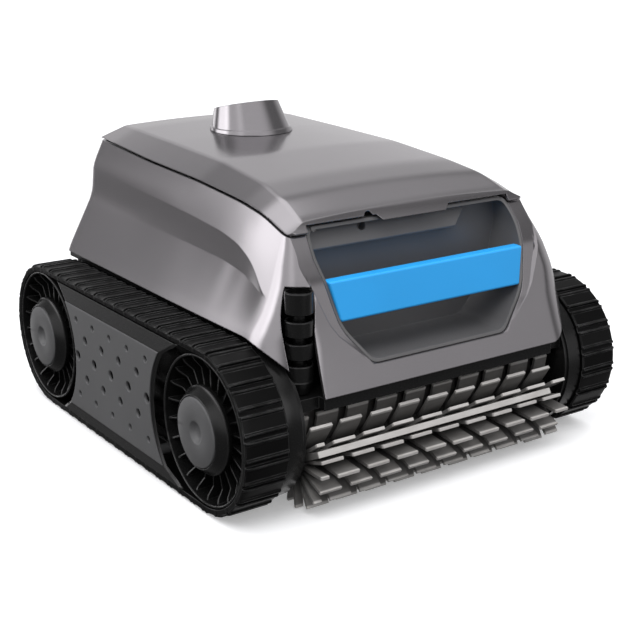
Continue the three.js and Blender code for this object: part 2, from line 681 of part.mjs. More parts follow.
function basketSolid() {
  const { x, y: [y0, y1], z: [z0, z1], floor } = BASKET;
  const block = (grow, span) => box([-x - grow, x + grow], [y0 - grow, y1 + grow], span);
  const port = box([-40, 40], [-72, -40], [40, 55]);
  return cut(block(0, [z0, z1]), block(-2.5, [floor[1], z1 + 5]), block(-2.5, [z0 - 5, floor[0]]), port);
}

const FLAP_HINGE = { y: -45, z: 21 };

function flapSolid() {
  const plate = box([-44, 44], [-71, FLAP_HINGE.y], [19.2, 20.8]);
  return join(plate, rodX(2, [-44, 44], FLAP_HINGE.y, FLAP_HINGE.z, 12));
}

// Gland in the rear wall for the supply cable.
const GLAND = { x: -90, z: 165 };

function glandSolid() {
  const body = turnedZ([[0, 0], [13, 0], [13, 3], [8.6, 3], [8.6, 14], [5, 18], [0, 18]], 0, 0, 16);
  const geometry = toGeometry(body, false).rotateX(-Math.PI / 2);
  return solid(geometry.translate(GLAND.x, 187.1, GLAND.z));
}

function glandNutSolid() {
  const nut = new THREE.CylinderGeometry(12, 12, 6, 6).translate(GLAND.x, 193.6 + 3, GLAND.z);
  const bore = new THREE.CylinderGeometry(8.9, 8.9, 10, 16).translate(GLAND.x, 193.6 + 3, GLAND.z);
  return cut(solid(nut), solid(bore));
}

// ---- assembly ----
piece('chassis_tub', tubSolid(), BLACK);
piece('body_shell', shellSolid(), SHELL_GREY);
piece('recess_liner', linerSolid(), DARK_GREY);
piece('handle_grip', handleSolid(), BLUE);
piece('corner_buffer', bufferSolid(), BLACK);
pair('side_panel', panelSolid(), PANEL_GREY);
piece('drive_casing_right', casingSolid(1), BLACK);
piece('drive_casing_left', casingSolid(-1), BLACK, true);
pair('track_belt', beltSolid(), RUBBER);
piece('pump_motor', pumpSolid(), DARK_GREY);
pair('drive_motor', driveMotorSolid(), DARK_GREY);
piece('filter_basket', basketSolid(), PANEL_GREY);
piece('outlet_duct', ductSolid(), BLACK);
piece('cable_gland', glandSolid(), BLACK);
piece('gland_nut', glandNutSolid(), BLACK);
for (const side of [-1, 1]) {
  const span = [side * HINGE_X - 13, side * HINGE_X + 13];
  piece(`lid_hinge_pin_${side > 0 ? 'right' : 'left'}`, rodX(LID_HINGE.r, span, LID_HINGE.y, LID_HINGE.z, 12),
    STEEL);
}

for (const [endName, end] of [['front', -1], ['rear', 1]]) {
  const y = end * AXLE_Y;
  pair(`wheel_${endName}`, wheelSolid(y), BLACK);
  pair(`hub_cap_${endName}`, capSolid(y), PANEL_GREY);
  pair(`wheel_bush_${endName}`, tubeX(BORE_R, 9.4, [155.6, 186], y, AXLE_Z, 16), NYLON);
  pair(`brush_bush_${endName}`, tubeX(BRUSH_SHAFT_R + 0.2, 8.7, [CHEEK_X[0], 144.8], end * BRUSH_Y, BRUSH_Z, 16),
    NYLON);
  piece(`brush_roller_${endName}`, rollerSolid(end), PANEL_GREY);
  piece(`brush_blades_${endName}`, bladesSolid(end), BRUSH_GREY);
  piece(`idler_gear_${endName}`, idlerSolid(end), NYLON, end < 0);
  piece(`brush_pinion_${endName}`, brushPinionSolid(end), NYLON, end < 0);
}
piece('axle_front_right', axleSolid(-AXLE_Y, true), STEEL);
piece('axle_front_left', axleSolid(-AXLE_Y, false), STEEL, true);
pair('axle_rear', axleSolid(AXLE_Y, false), STEEL);
piece('wheel_gear_front_left', wheelGearSolid(-1), NYLON, true);
pair('wheel_gear_rear', wheelGearSolid(1), NYLON);
pair('drive_pinion', drivePinionSolid(), NYLON);

piece('lid', lidSolid(), SHELL_GREY);
piece('outlet_nozzle', nozzleSolid(), SHELL_GREY);
piece('outlet_grille', grilleSolid(), BLACK);
piece('propeller', propellerSolid(), NYLON);
piece('inlet_flap', flapSolid(), DARK_GREY);

export default model;
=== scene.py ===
"""Looks of the tracked robotic pool cleaner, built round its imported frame.

Shapes are worked out in millimetres in the frame of the machine: +X to its right seen from
the front, the front faces -Y, +Z up. They become metres when a mesh is made.
"""
import json
import math
import random
from contextlib import contextmanager

import bmesh
import bpy
import numpy as np
from mathutils import Matrix, Vector


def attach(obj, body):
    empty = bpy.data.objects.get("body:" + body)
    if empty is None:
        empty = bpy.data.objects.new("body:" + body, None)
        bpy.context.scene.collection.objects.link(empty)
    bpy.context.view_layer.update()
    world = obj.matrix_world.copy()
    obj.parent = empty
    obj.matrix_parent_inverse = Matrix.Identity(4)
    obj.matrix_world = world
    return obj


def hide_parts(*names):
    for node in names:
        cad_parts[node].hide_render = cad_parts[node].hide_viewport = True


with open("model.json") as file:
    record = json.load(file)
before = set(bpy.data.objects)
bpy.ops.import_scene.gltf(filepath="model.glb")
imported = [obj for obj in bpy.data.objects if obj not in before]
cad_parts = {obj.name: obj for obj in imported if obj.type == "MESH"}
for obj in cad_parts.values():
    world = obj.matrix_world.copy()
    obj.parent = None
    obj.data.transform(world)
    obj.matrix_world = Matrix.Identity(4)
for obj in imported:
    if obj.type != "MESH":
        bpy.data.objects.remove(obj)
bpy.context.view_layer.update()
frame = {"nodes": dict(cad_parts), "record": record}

MM = 0.001
RECORD = frame["record"]
BODY_OF = {node: body for body, nodes in RECORD["behaviour"]["bodies"].items() for node in nodes}
SLOT_OF = {entry["node"]: entry["material_slot"] for entry in RECORD["subparts"]}

# ---- driving dimensions ----
AXLE_Y, AXLE_Z = 148, 69
BELT_X = (156, 195)
BELT_R, BELT_INNER_R = 66, 62.4
LUG_COUNT = 52
WHEEL_R = 61.7
CAP_FACE_X = 199.4
CASING_X, CASING_R = (141.3, 154.7), 64.5
CHEEK_X = (138, 141)
PANEL_X = 198.9
PANEL_CUT_R = 69.7
SKIRT_Z = 140
DECK_Z = (88.5, 98.5)
BRUSH_Y, BRUSH_Z = 182.8, 41.9
BRUSH_CORE_R, BRUSH_TIP_R, BRUSH_HALF = 11.7, 41, 136
SHELL_WALL = 3
PARTING_GAP = 2
LID_FRONT_Z = 223.4
RECESS_BACK_Y = -148
OUTLET_Y = 83
PUMP_TOP = 150
DRIVE_Y = 121.5

# Where tools that cut the hull end, well past it: at both PAST_X and both PAST_Y, or at PAST_FRONT in front.
PAST_X, PAST_FRONT, PAST_Y = 180, -240, 230


def linked(name, data):
    made = bpy.data.objects.new(name, data)
    bpy.context.scene.collection.objects.link(made)
    return made


def heading(azimuth, elevation):
    """Unit vector at an azimuth, from the front (-Y) towards +X, and an elevation, in degrees."""
    a, e = math.radians(azimuth), math.radians(elevation)
    return Vector((math.sin(a) * math.cos(e), -math.cos(a) * math.cos(e), math.sin(e)))


# ---- camera: a person standing at the machine's left front ----
CAMERA_PLACE = (-0.6423, -0.9518, 0.4451)
CAMERA_AZIMUTH, CAMERA_ELEVATION, CAMERA_ROLL = -34.803, 16.928, -0.158
CAMERA_LENS, CAMERA_SENSOR = 71.95, 36


def add_camera():
    back = heading(CAMERA_AZIMUTH, CAMERA_ELEVATION)
    azimuth, roll = math.radians(CAMERA_AZIMUTH), math.radians(CAMERA_ROLL)
    level = Vector((math.cos(azimuth), math.sin(azimuth), 0))
    right = level * math.cos(roll) + back.cross(level) * math.sin(roll)
    data = bpy.data.cameras.new("camera")
    data.lens, data.sensor_width = CAMERA_LENS, CAMERA_SENSOR
    camera = linked("camera", data)
    camera.matrix_world = (Matrix.Translation(CAMERA_PLACE)
                           @ Matrix((right, back.cross(right), back)).transposed().to_4x4())
    bpy.context.scene.camera = camera


add_camera()


# ---- materials ----
def tone(*levels):
    """A display colour, 0 to 255, as scene-linear values."""
    return [((v / 255 + 0.055) / 1.055) ** 2.4 if v > 10 else v / 255 / 12.92 for v in levels] + [1]


class Nodes:
    """A small builder for a node tree. An input is a socket to link or a value to set."""

    def __init__(self, tree):
        self.tree = tree

    def feed(self, target, value):
        if isinstance(value, bpy.types.NodeSocket):
            self.tree.links.new(value, target)
        else:
            target.default_value = value

    def node(self, kind, inputs=None, **settings):
        made = self.tree.nodes.new(kind)
        for key, value in settings.items():
            setattr(made, key, value)
        for key, value in (inputs or {}).items():
            self.feed(made.inputs[key], value)
        return made

    def math(self, operation, first, second=0.0):
        return self.node("ShaderNodeMath", {0: first, 1: second}, operation=operation).outputs[0]

    def dot(self, first, second):
        made = self.node("ShaderNodeVectorMath", {0: first, 1: second}, operation="DOT_PRODUCT")
        return made.outputs["Value"]

    def ramp(self, source, low, high, to_low=0.0, to_high=1.0, **settings):
        inputs = {"Value": source, "From Min": low, "From Max": high, "To Min": to_low, "To Max": to_high}
        return self.node("ShaderNodeMapRange", inputs, **settings).outputs["Result"]

    def mix(self, factor, first, second, **settings):
        made = self.node("ShaderNodeMix", {"Factor": factor}, data_type="RGBA", **settings)
        colours = [socket for socket in made.inputs if socket.type == "RGBA"]
        self.feed(colours[0], first)
        self.feed(colours[1], second)
        return next(socket for socket in made.outputs if socket.type == "RGBA")


class Shader(Nodes):
    """The node tree of one material."""

    def __init__(self, name):
        self.material = bpy.data.materials.new(name)
        self.material.use_nodes = True
        super().__init__(self.material.node_tree)
        self.place = self.node("ShaderNodeTexCoord").outputs["Object"]

    def surface(self, socket, value):
        self.feed(self.tree.nodes["Principled BSDF"].inputs[socket], value)

    def noise(self, scale, detail=3, stretch=(1, 1, 1)):
        place = self.node("ShaderNodeMapping", {"Vector": self.place, "Scale": stretch}).outputs["Vector"]
        inputs = {"Vector": place, "Scale": scale, "Detail": detail}
        return self.node("ShaderNodeTexNoise", inputs).outputs["Fac"]

    def edges(self, radius):
        """1 on edges sharper than the radius, 0 on the faces between them, and the softened normal."""
        soft = self.node("ShaderNodeBevel", {"Radius": radius}, samples=4).outputs["Normal"]
        plain = self.node("ShaderNodeNewGeometry").outputs["Normal"]
        return self.ramp(self.dot(soft, plain), 0.995, 0.90), soft

    def bump(self, height, strength, distance, **normal):
        inputs = {"Height": height, "Strength": strength, "Distance": distance, **normal}
        return self.node("ShaderNodeBump", inputs).outputs["Normal"]


EDGE_RADIUS, GRAIN_HEIGHT = 0.0009, 0.00006


def moulded(name, levels, roughness, *, metallic=0.0, gloss=0.5, grain=0.3, grain_scale=1800, wear_and_highlight=0.25,
            edge_light=0.03, variation=0.12, streaks=(1, 1, 1)):
    """Plastic, paint, rubber or metal: a colour with fine grain, soft clouds and lighter edges: scuffing, and
    on the black plastic and the rubber a painted highlight.
    """
    shader = Shader(name)
    colour = tone(*levels)[:3]
    shades = ((1 - variation, 0), (1 + variation, 0), (1.5, edge_light))
    # The edge colour is lighter: scuffing on most finishes, and on the black plastic and the rubber, which
    # get it strongly, a painted highlight along the edges.
    dark, light, worn_and_painted_light = ([min(1, c * scale + lift) for c in colour] + [1] for scale, lift in shades)
    base = shader.mix(shader.ramp(shader.noise(14, 2, streaks), 0.3, 0.7), dark, light)
    edge, soft_normal = shader.edges(EDGE_RADIUS)
    patches = shader.ramp(shader.noise(90, 3), 0.35, 0.65, 0.3 * wear_and_highlight, wear_and_highlight)
    fine = shader.noise(grain_scale, 4, streaks)
    shader.surface("Base Color", shader.mix(shader.math("MULTIPLY", edge, patches), base, worn_and_painted_light))
    shader.surface("Roughness", shader.ramp(fine, 0.3, 0.7, roughness * 0.9, min(1, roughness * 1.12)))
    shader.surface("Normal", shader.bump(fine, grain, GRAIN_HEIGHT, Normal=soft_normal))
    shader.surface("Metallic", metallic)
    shader.surface("Specular IOR Level", gloss)
    return shader.material


def brush_material():
    """Flexible blades: dark at the sleeve, which is painted shade between the blades, grey along the blade,
    with pale tips.
    """
    shader = Shader("brush_pvc")
    split = shader.node("ShaderNodeSeparateXYZ", {0: shader.place})
    along = shader.math("ABSOLUTE", split.outputs["Y"])
    squares = []
    for source, centre in ((along, BRUSH_Y), (split.outputs["Z"], BRUSH_Z)):
        shift = shader.math("SUBTRACT", source, centre * MM)
        squares.append(shader.math("MULTIPLY", shift, shift))
    radius = shader.math("SQRT", shader.math("ADD", *squares))
    # Painted shade: the blades darken towards the sleeve, in the hollows between them.
    body = shader.mix(shader.ramp(radius, 0.014, 0.03), tone(38, 37, 36), tone(124, 122, 120))
    tip = shader.ramp(radius, (BRUSH_TIP_R - 3.4) * MM, (BRUSH_TIP_R - 2.2) * MM)
    worn_and_painted_light = shader.mix(tip, body, tone(206, 203, 200))
    clouds = shader.ramp(shader.noise(160, 3, (0.3, 1, 1)), 0.3, 0.7)
    shader.surface("Base Color", shader.mix(clouds, worn_and_painted_light, (0.8, 0.79, 0.78, 1), blend_type="MULTIPLY"))
    fine = shader.noise(900, 4)
    shader.surface("Roughness", shader.ramp(fine, 0.3, 0.7, 0.36, 0.5))
    shader.surface("Normal", shader.bump(fine, 0.4, 0.0001))
    return shader.material


FINISHES = {
    "shell_grey": dict(levels=(156, 153, 156), roughness=0.17, metallic=0.9, grain=0.06, grain_scale=2600,
                       wear_and_highlight=0.1, variation=0.02),
    "handle_blue": dict(levels=(46, 174, 252), roughness=0.3, grain=0.1, wear_and_highlight=0.15, variation=0.03),
    "liner_grey": dict(levels=(110, 109, 110), roughness=0.36, metallic=0.3, grain=0.2, variation=0.05),
    "panel_grey": dict(levels=(94, 94, 95), roughness=0.5, grain=0.35, variation=0.05),
    # The black plastic and the rubber get strongly lightened edges: a painted highlight along each edge.
    "black_plastic": dict(levels=(20, 20, 20), roughness=0.25, gloss=0.42, grain=0.25, variation=0.1,
                          wear_and_highlight=0.8, edge_light=0.06),
    "track_rubber": dict(levels=(14, 14, 14), roughness=0.3, gloss=0.1, grain=0.4, grain_scale=1200,
                         variation=0.15, wear_and_highlight=1.0, edge_light=0.1),
    "motor_housing": dict(levels=(66, 66, 70), roughness=0.45),
    "steel": dict(levels=(190, 192, 196), roughness=0.28, metallic=1.0, streaks=(1, 12, 12), variation=0.05),
    "nylon": dict(levels=(216, 212, 200), roughness=0.45, grain=0.15, variation=0.04),
}
MATERIALS = {name: moulded(name, **finish) for name, finish in FINISHES.items()}
MATERIALS["brush_pvc"] = brush_material()


# ---- meshes ----
@contextmanager
def editing(mesh):
    """The mesh as a bmesh, written back at the end."""
    work = bmesh.new()
    work.from_mesh(mesh)
    yield work
    work.to_mesh(mesh)
    work.free()


def solid(name, corners, faces):
    """A mesh object from corners in millimetres, with doubled points merged and faces turned outwards."""
    mesh = bpy.data.meshes.new(name)
    mesh.from_pydata([tuple(c * MM for c in corner) for corner in corners], [], faces)
    with editing(mesh) as work:
        bmesh.ops.remove_doubles(work, verts=work.verts, dist=1e-6)
        bmesh.ops.dissolve_degenerate(work, edges=work.edges, dist=1e-7)
        bmesh.ops.recalc_face_normals(work, faces=work.faces)
    return linked(name, mesh)


def grid_faces(rows, count, closed_rows=False):
    faces = []
    for r in range(rows if closed_rows else rows - 1):
        row, above = r * count, (r + 1) % rows * count
        for i in range(count):
            j = (i + 1) % count
            faces.append((row + i, row + j, above + j, above + i))
    return faces


def loft(name, rings):
    """A closed body through equal rings, with a cap at each end."""
    count = len(rings[0])
    corners = [corner for ring in rings for corner in ring]
    last = (len(rings) - 1) * count
    faces = grid_faces(len(rings), count) + [tuple(range(count)), tuple(range(last, last + count))]
    return solid(name, corners, faces)


def sweep(name, sections):
    """A closed loop of equal closed sections."""
    corners = [corner for section in sections for corner in section]
    return solid(name, corners, grid_faces(len(sections), len(sections[0]), closed_rows=True))


def at(axis, u, v, along):
    """Outline coordinates to space: (y, z) for axis x, (x, z) for axis y, (x, y) for axis z."""
    return {"x": (along, u, v), "y": (u, along, v), "z": (u, v, along)}[axis]


def facing(side, low, high):
    """The span from low to high on one side of the middle: side is 1 or -1."""
    return (low, high) if side > 0 else (-high, -low)


def prism(name, axis, outline, start, end):
    return loft(name, [[at(axis, u, v, along) for u, v in outline] for along in (start, end)])


def box(name, xs, ys, zs):
    return prism(name, "z", [(xs[0], ys[0]), (xs[1], ys[0]), (xs[1], ys[1]), (xs[0], ys[1])], *zs)


def turned(name, axis, profile, centre, steps=72):
    """Closed profile of (radius, along) points, turned about the axis through centre."""
    rings = []
    for i in range(steps):
        c, s = math.cos(2 * math.pi * i / steps), math.sin(2 * math.pi * i / steps)
        rings.append([at(axis, centre[0] + r * c, centre[1] + r * s, along) for r, along in profile])
    return sweep(name, rings)


def tube(name, axis, inner, outer, span, centre, steps=72):
    low, high = span
    return turned(name, axis, [(inner, low), (outer, low), (outer, high), (inner, high)], centre, steps)


def rod(name, axis, radius, span, centre, steps=48):
    return tube(name, axis, 0, radius, span, centre, steps)


def batch(parts):
    """Several bodies that don't touch, as one tool."""
    mesh = bpy.data.meshes.new("batch")
    with editing(mesh) as work:
        for part in parts:
            work.from_mesh(part.data)
            bpy.data.objects.remove(part)
    return linked("batch", mesh)


def combined(body, operation, tools):
    for tool in tools:
        step = body.modifiers.new(operation, "BOOLEAN")
        step.operation = operation
        step.solver = "MANIFOLD"
        step.object = tool
    settle(body)
    for tool in tools:
        bpy.data.objects.remove(tool)
    return body


def cut(body, *tools):
    return combined(body, "DIFFERENCE", tools)


def join(body, *tools):
    return combined(body, "UNION", tools)


def common(body, *tools):
    return combined(body, "INTERSECT", tools)


def copy(body):
    return linked(body.name, body.data.copy())


def settle(body):
    """Applies the modifiers to the mesh."""
    bpy.context.view_layer.update()
    final = body.evaluated_get(bpy.context.evaluated_depsgraph_get())
    mesh = bpy.data.meshes.new_from_object(final)
    body.modifiers.clear()
    body.data = mesh
    return body


def edge_middle(edge):
    return (edge.verts[0].co + edge.verts[1].co) / 2 / MM


def rounded(body, width=0.6, segments=2, angle=32, wide_edges=None, wide=0.0, merge=0.4):
    """Joins faces that meet flatter than merge, in degrees, and rounds the edges sharper than the angle.

    wide_edges(middle) picks those that get the wide rounding.
    """
    largest = max(width, wide)
    with editing(body.data) as work:
        bmesh.ops.remove_doubles(work, verts=work.verts, dist=2e-5)
        bmesh.ops.dissolve_limit(work, angle_limit=math.radians(merge), verts=work.verts, edges=work.edges)
        layer = work.edges.layers.float.new("bevel_weight_edge")
        for edge in work.edges:
            if len(edge.link_faces) == 2 and edge.calc_face_angle(0) > math.radians(angle):
                chosen = wide_edges is not None and wide_edges(edge_middle(edge))
                edge[layer] = (wide if chosen else width) / largest
    step = body.modifiers.new("rounding", "BEVEL")
    step.limit_method = "WEIGHT"
    step.width = largest * MM
    step.segments = segments
    step.use_clamp_overlap = True
    return settle(body)


def shaded(body, angle=28, crease=None):
    """Smooth shading between the edges sharper than the angle and those that crease(middle, angle) picks."""
    mesh = body.data
    mesh.polygons.foreach_set("use_smooth", [True] * len(mesh.polygons))
    mesh.set_sharp_from_angle(angle=math.radians(angle))
    if crease is not None:
        with editing(mesh) as work:
            for edge in work.edges:
                if len(edge.link_faces) == 2 and edge.smooth:
                    edge.smooth = not crease(edge_middle(edge), math.degrees(edge.calc_face_angle(0)))
    weigh = body.modifiers.new("weigh", "WEIGHTED_NORMAL")
    weigh.keep_sharp = True
    return settle(body)


def mirrored(body):
    made = copy(body)
    made.data.transform(Matrix.Diagonal((-1, 1, 1, 1)))
    made.data.flip_normals()
    return made


def finished(body, name, slot):
    body.name = name
    body.data.materials.clear()
    body.data.materials.append(MATERIALS[slot])


def place(body, node):
    """The body stands for the CAD node: it rides with it and takes its finish."""
    finished(body, "fine_" + node, SLOT_OF[node])
    body.data.name = body.name
    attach(body, BODY_OF[node])
    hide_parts(node)


def extra(body, name, like):
    """A piece in black plastic that the CAD has inside another node: it rides with that node."""
    finished(body, name, "black_plastic")
    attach(body, BODY_OF[like])


def place_pair(body, node):
    other = mirrored(body)
    place(body, node + "_right")
    place(other, node + "_left")


def extra_pair(body, name, like):
    extra(mirrored(body), name + "_left", like + "_left")
    extra(body, name + "_right", like + "_right")


# ---- the hull's surface ----
# Half sections (x, z) at the stations: skirt, two waist points, lid edge, lid crease, crown.
STATION_Y = [-220, -158, -129, -93, -22, 72, 150, 200]
STATIONS = np.array([
    [(157, 140), (133, 190), (125, 206), (121, 215), (107, 220), (0, 223)],
    [(157, 140), (135, 190), (126, 207), (121.5, 219), (107, 226), (0, 229)],
    [(157, 140), (135, 192), (128, 211), (120.4, 228.2), (103, 237.5), (0, 240.5)],
    [(157, 140), (135, 193), (127, 214), (119, 233), (97.5, 244.3), (0, 247.5)],
    [(156.5, 140), (133, 194), (124.5, 218), (117, 238), (93.6, 251.6), (0, 254.5)],
    [(155, 140), (129, 195), (123.5, 221), (115, 241.2), (90.7, 255.2), (0, 258)],
    [(154, 140), (126.5, 195.4), (123, 223), (112.5, 245.5), (88.5, 257.5), (0, 260)],
    [(153, 140), (125.8, 195.6), (122.9, 223.3), (111, 248.6), (82, 256.4), (0, 258.5)],
], float)
# The hull's front and rear seen from the side, as (y, z).
FRONT_PROFILE = [(-211.9, 98.5), (-206.7, 115), (-201.5, 133), (-197, 151), (-190, 184), (-178, 203),
                 (-160, 225.6), (-150, 290)]
REAR_PROFILE = [(187, 90), (187, 150), (185, 200), (181.5, 248), (178, 290)]
# The radius of its front corners, as (z, radius).
CORNER_RADIUS = [(60, 43), (99.5, 43), (138, 42), (160, 30), (190, 25), (206, 19), (219, 9), (300, 9)]
# The joint line between shell and lid, as (y, z).
PARTING = [(-230, 212), (-163, 217.5), (-158, 219), (-128.7, 228.2), (-92.6, 233), (-21.5, 237.9),
           (72.2, 241.2), (230, 250.4)]
# The stamped groove in each side, as (y, z) of its upper and lower crease.
GROOVE_TOP = [(-220, 172.4), (-160, 172.6), (-143.5, 184.5), (-128.6, 193.5), (-106, 201.5), (-79, 205.8),
              (-21, 209.7), (55, 213), (200, 219)]
GROOVE_LOW = [(-220, 172), (-160, 172), (-147, 175), (-122, 180.5), (-89, 183.8), (-19, 185.2), (200, 187.5)]


def eased(points, reach):
    """A function through the points whose kinks are rounded over the reach."""
    steps = 12
    us, vs = zip(*points)
    fine = np.arange(us[0] - 2 * reach, us[-1] + 2 * reach, reach / steps)
    first = (vs[1] - vs[0]) / (us[1] - us[0])
    last = (vs[-1] - vs[-2]) / (us[-1] - us[-2])
    raw = np.interp(fine, us, vs)
    raw = np.where(fine < us[0], vs[0] + (fine - us[0]) * first, raw)
    raw = np.where(fine > us[-1], vs[-1] + (fine - us[-1]) * last, raw)
    smooth = np.convolve(raw, np.ones(steps) / steps, "same")
    smooth[:steps], smooth[-steps:] = raw[:steps], raw[-steps:]
    return lambda u: float(np.interp(u, fine, smooth))


station_point = [[eased(list(zip(STATION_Y, STATIONS[:, k, c])), 44 if k < 3 else 15) for c in (0, 1)]
                 for k in range(6)]
front_y = eased([(z, y) for y, z in FRONT_PROFILE], 14)
rear_y = eased([(z, y) for y, z in REAR_PROFILE], 14)
corner_radius = eased(CORNER_RADIUS, 12)
parting_z = eased(PARTING, 24)
groove_top = eased(GROOVE_TOP, 16)
groove_low = eased(GROOVE_LOW, 16)
groove_slope = eased([(-230, 0.27), (-40, 0.26), (60, 0.17), (150, 0.07), (200, 0.04)], 30)


def station(k, y):
    """Point k of the half section at y, as (x, z)."""
    return station_point[k][0](y), station_point[k][1](y)


def groove_depth(y, z):
    """How far the side is pressed in: most at the lower crease, nothing at the upper one and the skirt."""
    top, low = groove_top(y), groove_low(y)
    full = groove_slope(y) * max(0, top - low - 1)
    if z >= low:
        return full * min(1, max(0, (top - z) / max(top - low, 0.1)))
    return full * max(0, (z - SKIRT_Z) / (low - SKIRT_Z))


def side_x(y, z):
    """Half width of the hull's sides."""
    low, high, flare, blur = 90, 290, 0.12, 7
    points = [station(k, y) for k in range(4)]
    slope = (points[3][0] - points[2][0]) / (points[3][1] - points[2][1])
    foot = (points[0][0] + (SKIRT_Z - low) * flare, low)
    head = (points[3][0] + (high - points[3][1]) * slope, high)
    xs, zs = zip(foot, *points, head)
    around = np.linspace(z - blur, z + blur, 9)
    return float(np.mean(np.interp(around, zs, xs)))


REAR_CORNER = 8
CORNER_COLUMNS, SIDE_COLUMNS, ARC_COLUMNS, FRONT_COLUMNS = 7, 70, 26, 10
HULL_BOTTOM, TUNNEL_EDGE_Z, LID_WAIST_Z, HULL_TOP = 98.8, 118, 226, 262


def half_outline(row, offset):
    """Right half of the hull's outline in plan, from the rear centre round to the front centre."""
    def height(y):
        low, top = groove_low(y), groove_top(y)
        top = max(top, low + 0.8)
        levels = [HULL_BOTTOM, TUNNEL_EDGE_Z, SKIRT_Z, low, top, LID_WAIST_Z, HULL_TOP]
        return float(np.interp(row, range(len(levels)), levels))

    points = []
    z = height(STATION_Y[-1])
    rear, r = rear_y(z) - offset, REAR_CORNER - offset
    wide = side_x(rear, z) - groove_depth(rear, z) - offset
    for share in np.linspace(0, 1, CORNER_COLUMNS):
        points.append(((wide - r) * share, rear, z))
    for angle in np.linspace(0, math.pi / 2, CORNER_COLUMNS)[1:-1]:
        points.append((wide - r + r * math.sin(angle), rear - r + r * math.cos(angle), z))
    side_start = rear - r
    z = height(STATION_Y[0])
    r = corner_radius(z)
    turn_y = front_y(z) + r
    for share in np.linspace(0, 1, SIDE_COLUMNS):
        y = side_start + (turn_y - side_start) * share
        z = height(y)
        points.append((side_x(y, z) - groove_depth(y, z) - offset, y, z))
    for angle in np.linspace(0, math.pi / 2, ARC_COLUMNS)[1:]:
        y = turn_y - r * math.sin(angle)
        z = height(y)
        wide = side_x(turn_y, z)
        reach = r - offset - groove_depth(y, z)
        points.append((wide - r + reach * math.cos(angle), turn_y - reach * math.sin(angle), z))
    last = points[-1]
    for share in np.linspace(0, 1, FRONT_COLUMNS)[1:]:
        points.append((last[0] * (1 - share), last[1], last[2]))
    return points


# Rings between the levels of half_outline(), as (first level, last level, count).
RING_ROWS = [(0, 2, 12), (2, 3, 12), (3, 4, 10), (4, 5, 8), (5, 6, 14)]


def hull_rings(offset):
    """Rings of the hull, set inwards by the offset."""
    rings = []
    for row in np.unique(np.concatenate([np.linspace(*rows) for rows in RING_ROWS])):
        half = half_outline(float(row), offset)
        rings.append(half + [(-x, y, z) for x, y, z in half[-2:0:-1]])
    return rings


# Right half of the recess in the front, as (x, z).
RECESS_HALF = [(69.5, 115.5), (92, 142), (97, 151.5), (104.5, 184), (107.5, 200), (104, 221.5)]


def both_sides(half):
    return half + [(-x, z) for x, z in reversed(half)]


def grown(outline, distance):
    """Moves each edge of a counter-clockwise outline outwards."""
    count = len(outline)
    normals = []
    for i in range(count):
        a, b = Vector(outline[i]), Vector(outline[(i + 1) % count])
        run = (b - a).normalized()
        normals.append(Vector((run.y, -run.x)))
    result = []
    for i, corner in enumerate(outline):
        first, second = normals[i - 1], normals[i]
        shift = (first + second) * (distance / (1 + first.dot(second)))
        result.append((corner[0] + shift.x, corner[1] + shift.y))
    return result


def soft_corners(outline, radius, steps=5):
    """Rounds each corner of an outline with a short curve."""
    result = []
    count = len(outline)
    for i, corner in enumerate(outline):
        here = Vector(corner)
        before, after = Vector(outline[i - 1]), Vector(outline[(i + 1) % count])
        start = here + (before - here).normalized() * min(radius, (before - here).length * 0.45)
        end = here + (after - here).normalized() * min(radius, (after - here).length * 0.45)
        for t in np.linspace(0, 1, steps):
            result.append(tuple(start * (1 - t) ** 2 + here * 2 * t * (1 - t) + end * t * t))
    return result


RECESS = soft_corners(both_sides(RECESS_HALF), 6)


def stadium(radius, steps=32):
    """Outline round both axles of one side."""
    outline = []
    for centre, start in ((AXLE_Y, -math.pi / 2), (-AXLE_Y, math.pi / 2)):
        for i in range(steps + 1):
            angle = start + math.pi * i / steps
            outline.append((centre + radius * math.cos(angle), AXLE_Z + radius * math.sin(angle)))
    return outline


def above_parting(lift):
    top = 330
    ys = np.linspace(-PAST_Y, PAST_Y, 93)
    line = [(float(y), parting_z(y) + lift) for y in ys]
    return prism("parting", "x", line + [(PAST_Y, top), (-PAST_Y, top)], -PAST_X, PAST_X)


# The buffer and the niche it stands in, in plan as (x, y).
BUFFER_AT, BUFFER_R, BUFFER_TOP = (-128.5, -188), 11.3, 181
NICHE = [(-143, -230), (-120.5, -230), (-120.5, -192), (-123, -177), (-134, -176), (-143, -183)]
# The lid's hinge: its ears on the shell and its knuckles on the lid, as (y, z).
LID_HINGE_Y, LID_HINGE_Z, HINGE_X = 188, 249, 35
EAR = [(180, 222), (186, 230), (192, 243), (192, 250), (188, 252.6), (184, 249), (183.4, 243), (180, 240)]
KNUCKLE = [(178.5, 252.4), (186, 245.8), (190, 245.6), (192, 249), (190, 252.8), (181, 255.6)]
HINGE_BORE_R = 2.8
LATCH_X, LATCH_R = -44, 4.6
TUNNEL_X = (140.8, 185)


def tunnel(side):
    """Room for one track under the hull."""
    span = facing(side, *TUNNEL_X)
    return [prism("tunnel", "x", stadium(SKIRT_Z - AXLE_Z), *span),
            box("tunnel", span, (-AXLE_Y, PAST_Y), (40, SKIRT_Z))]


def hinge_plates(outline, places, width):
    outline = soft_corners(outline, 1.5, 3)
    pin = (LID_HINGE_Y, LID_HINGE_Z)
    plates = batch([prism("plate", "x", outline, x - width / 2, x + width / 2) for x in places])
    bores = [rod("bore", "x", HINGE_BORE_R, (x - width, x + width), pin, 24) for x in places]
    return cut(plates, batch(bores))


def on_groove(p, angle):
    """The two creases of the groove in the hull's side."""
    if abs(p.x) < 95 or p.y < -159 or p.y > 120:
        return False
    return angle > 4 and min(abs(p.z - groove_top(p.y)), abs(p.z - groove_low(p.y))) < 0.8


# Bevel beside the recess, by height: its width, and how far its outer edge is sunk as a share of that width.
BEVEL_Z, BEVEL_WIDTH = [116, 142, 152, 175, 190, 230], [0.6, 6.5, 8, 11.5, 14.5, 16]
SUNK_Z, SUNK_SHARE = [125, 165], [0, 0.28]


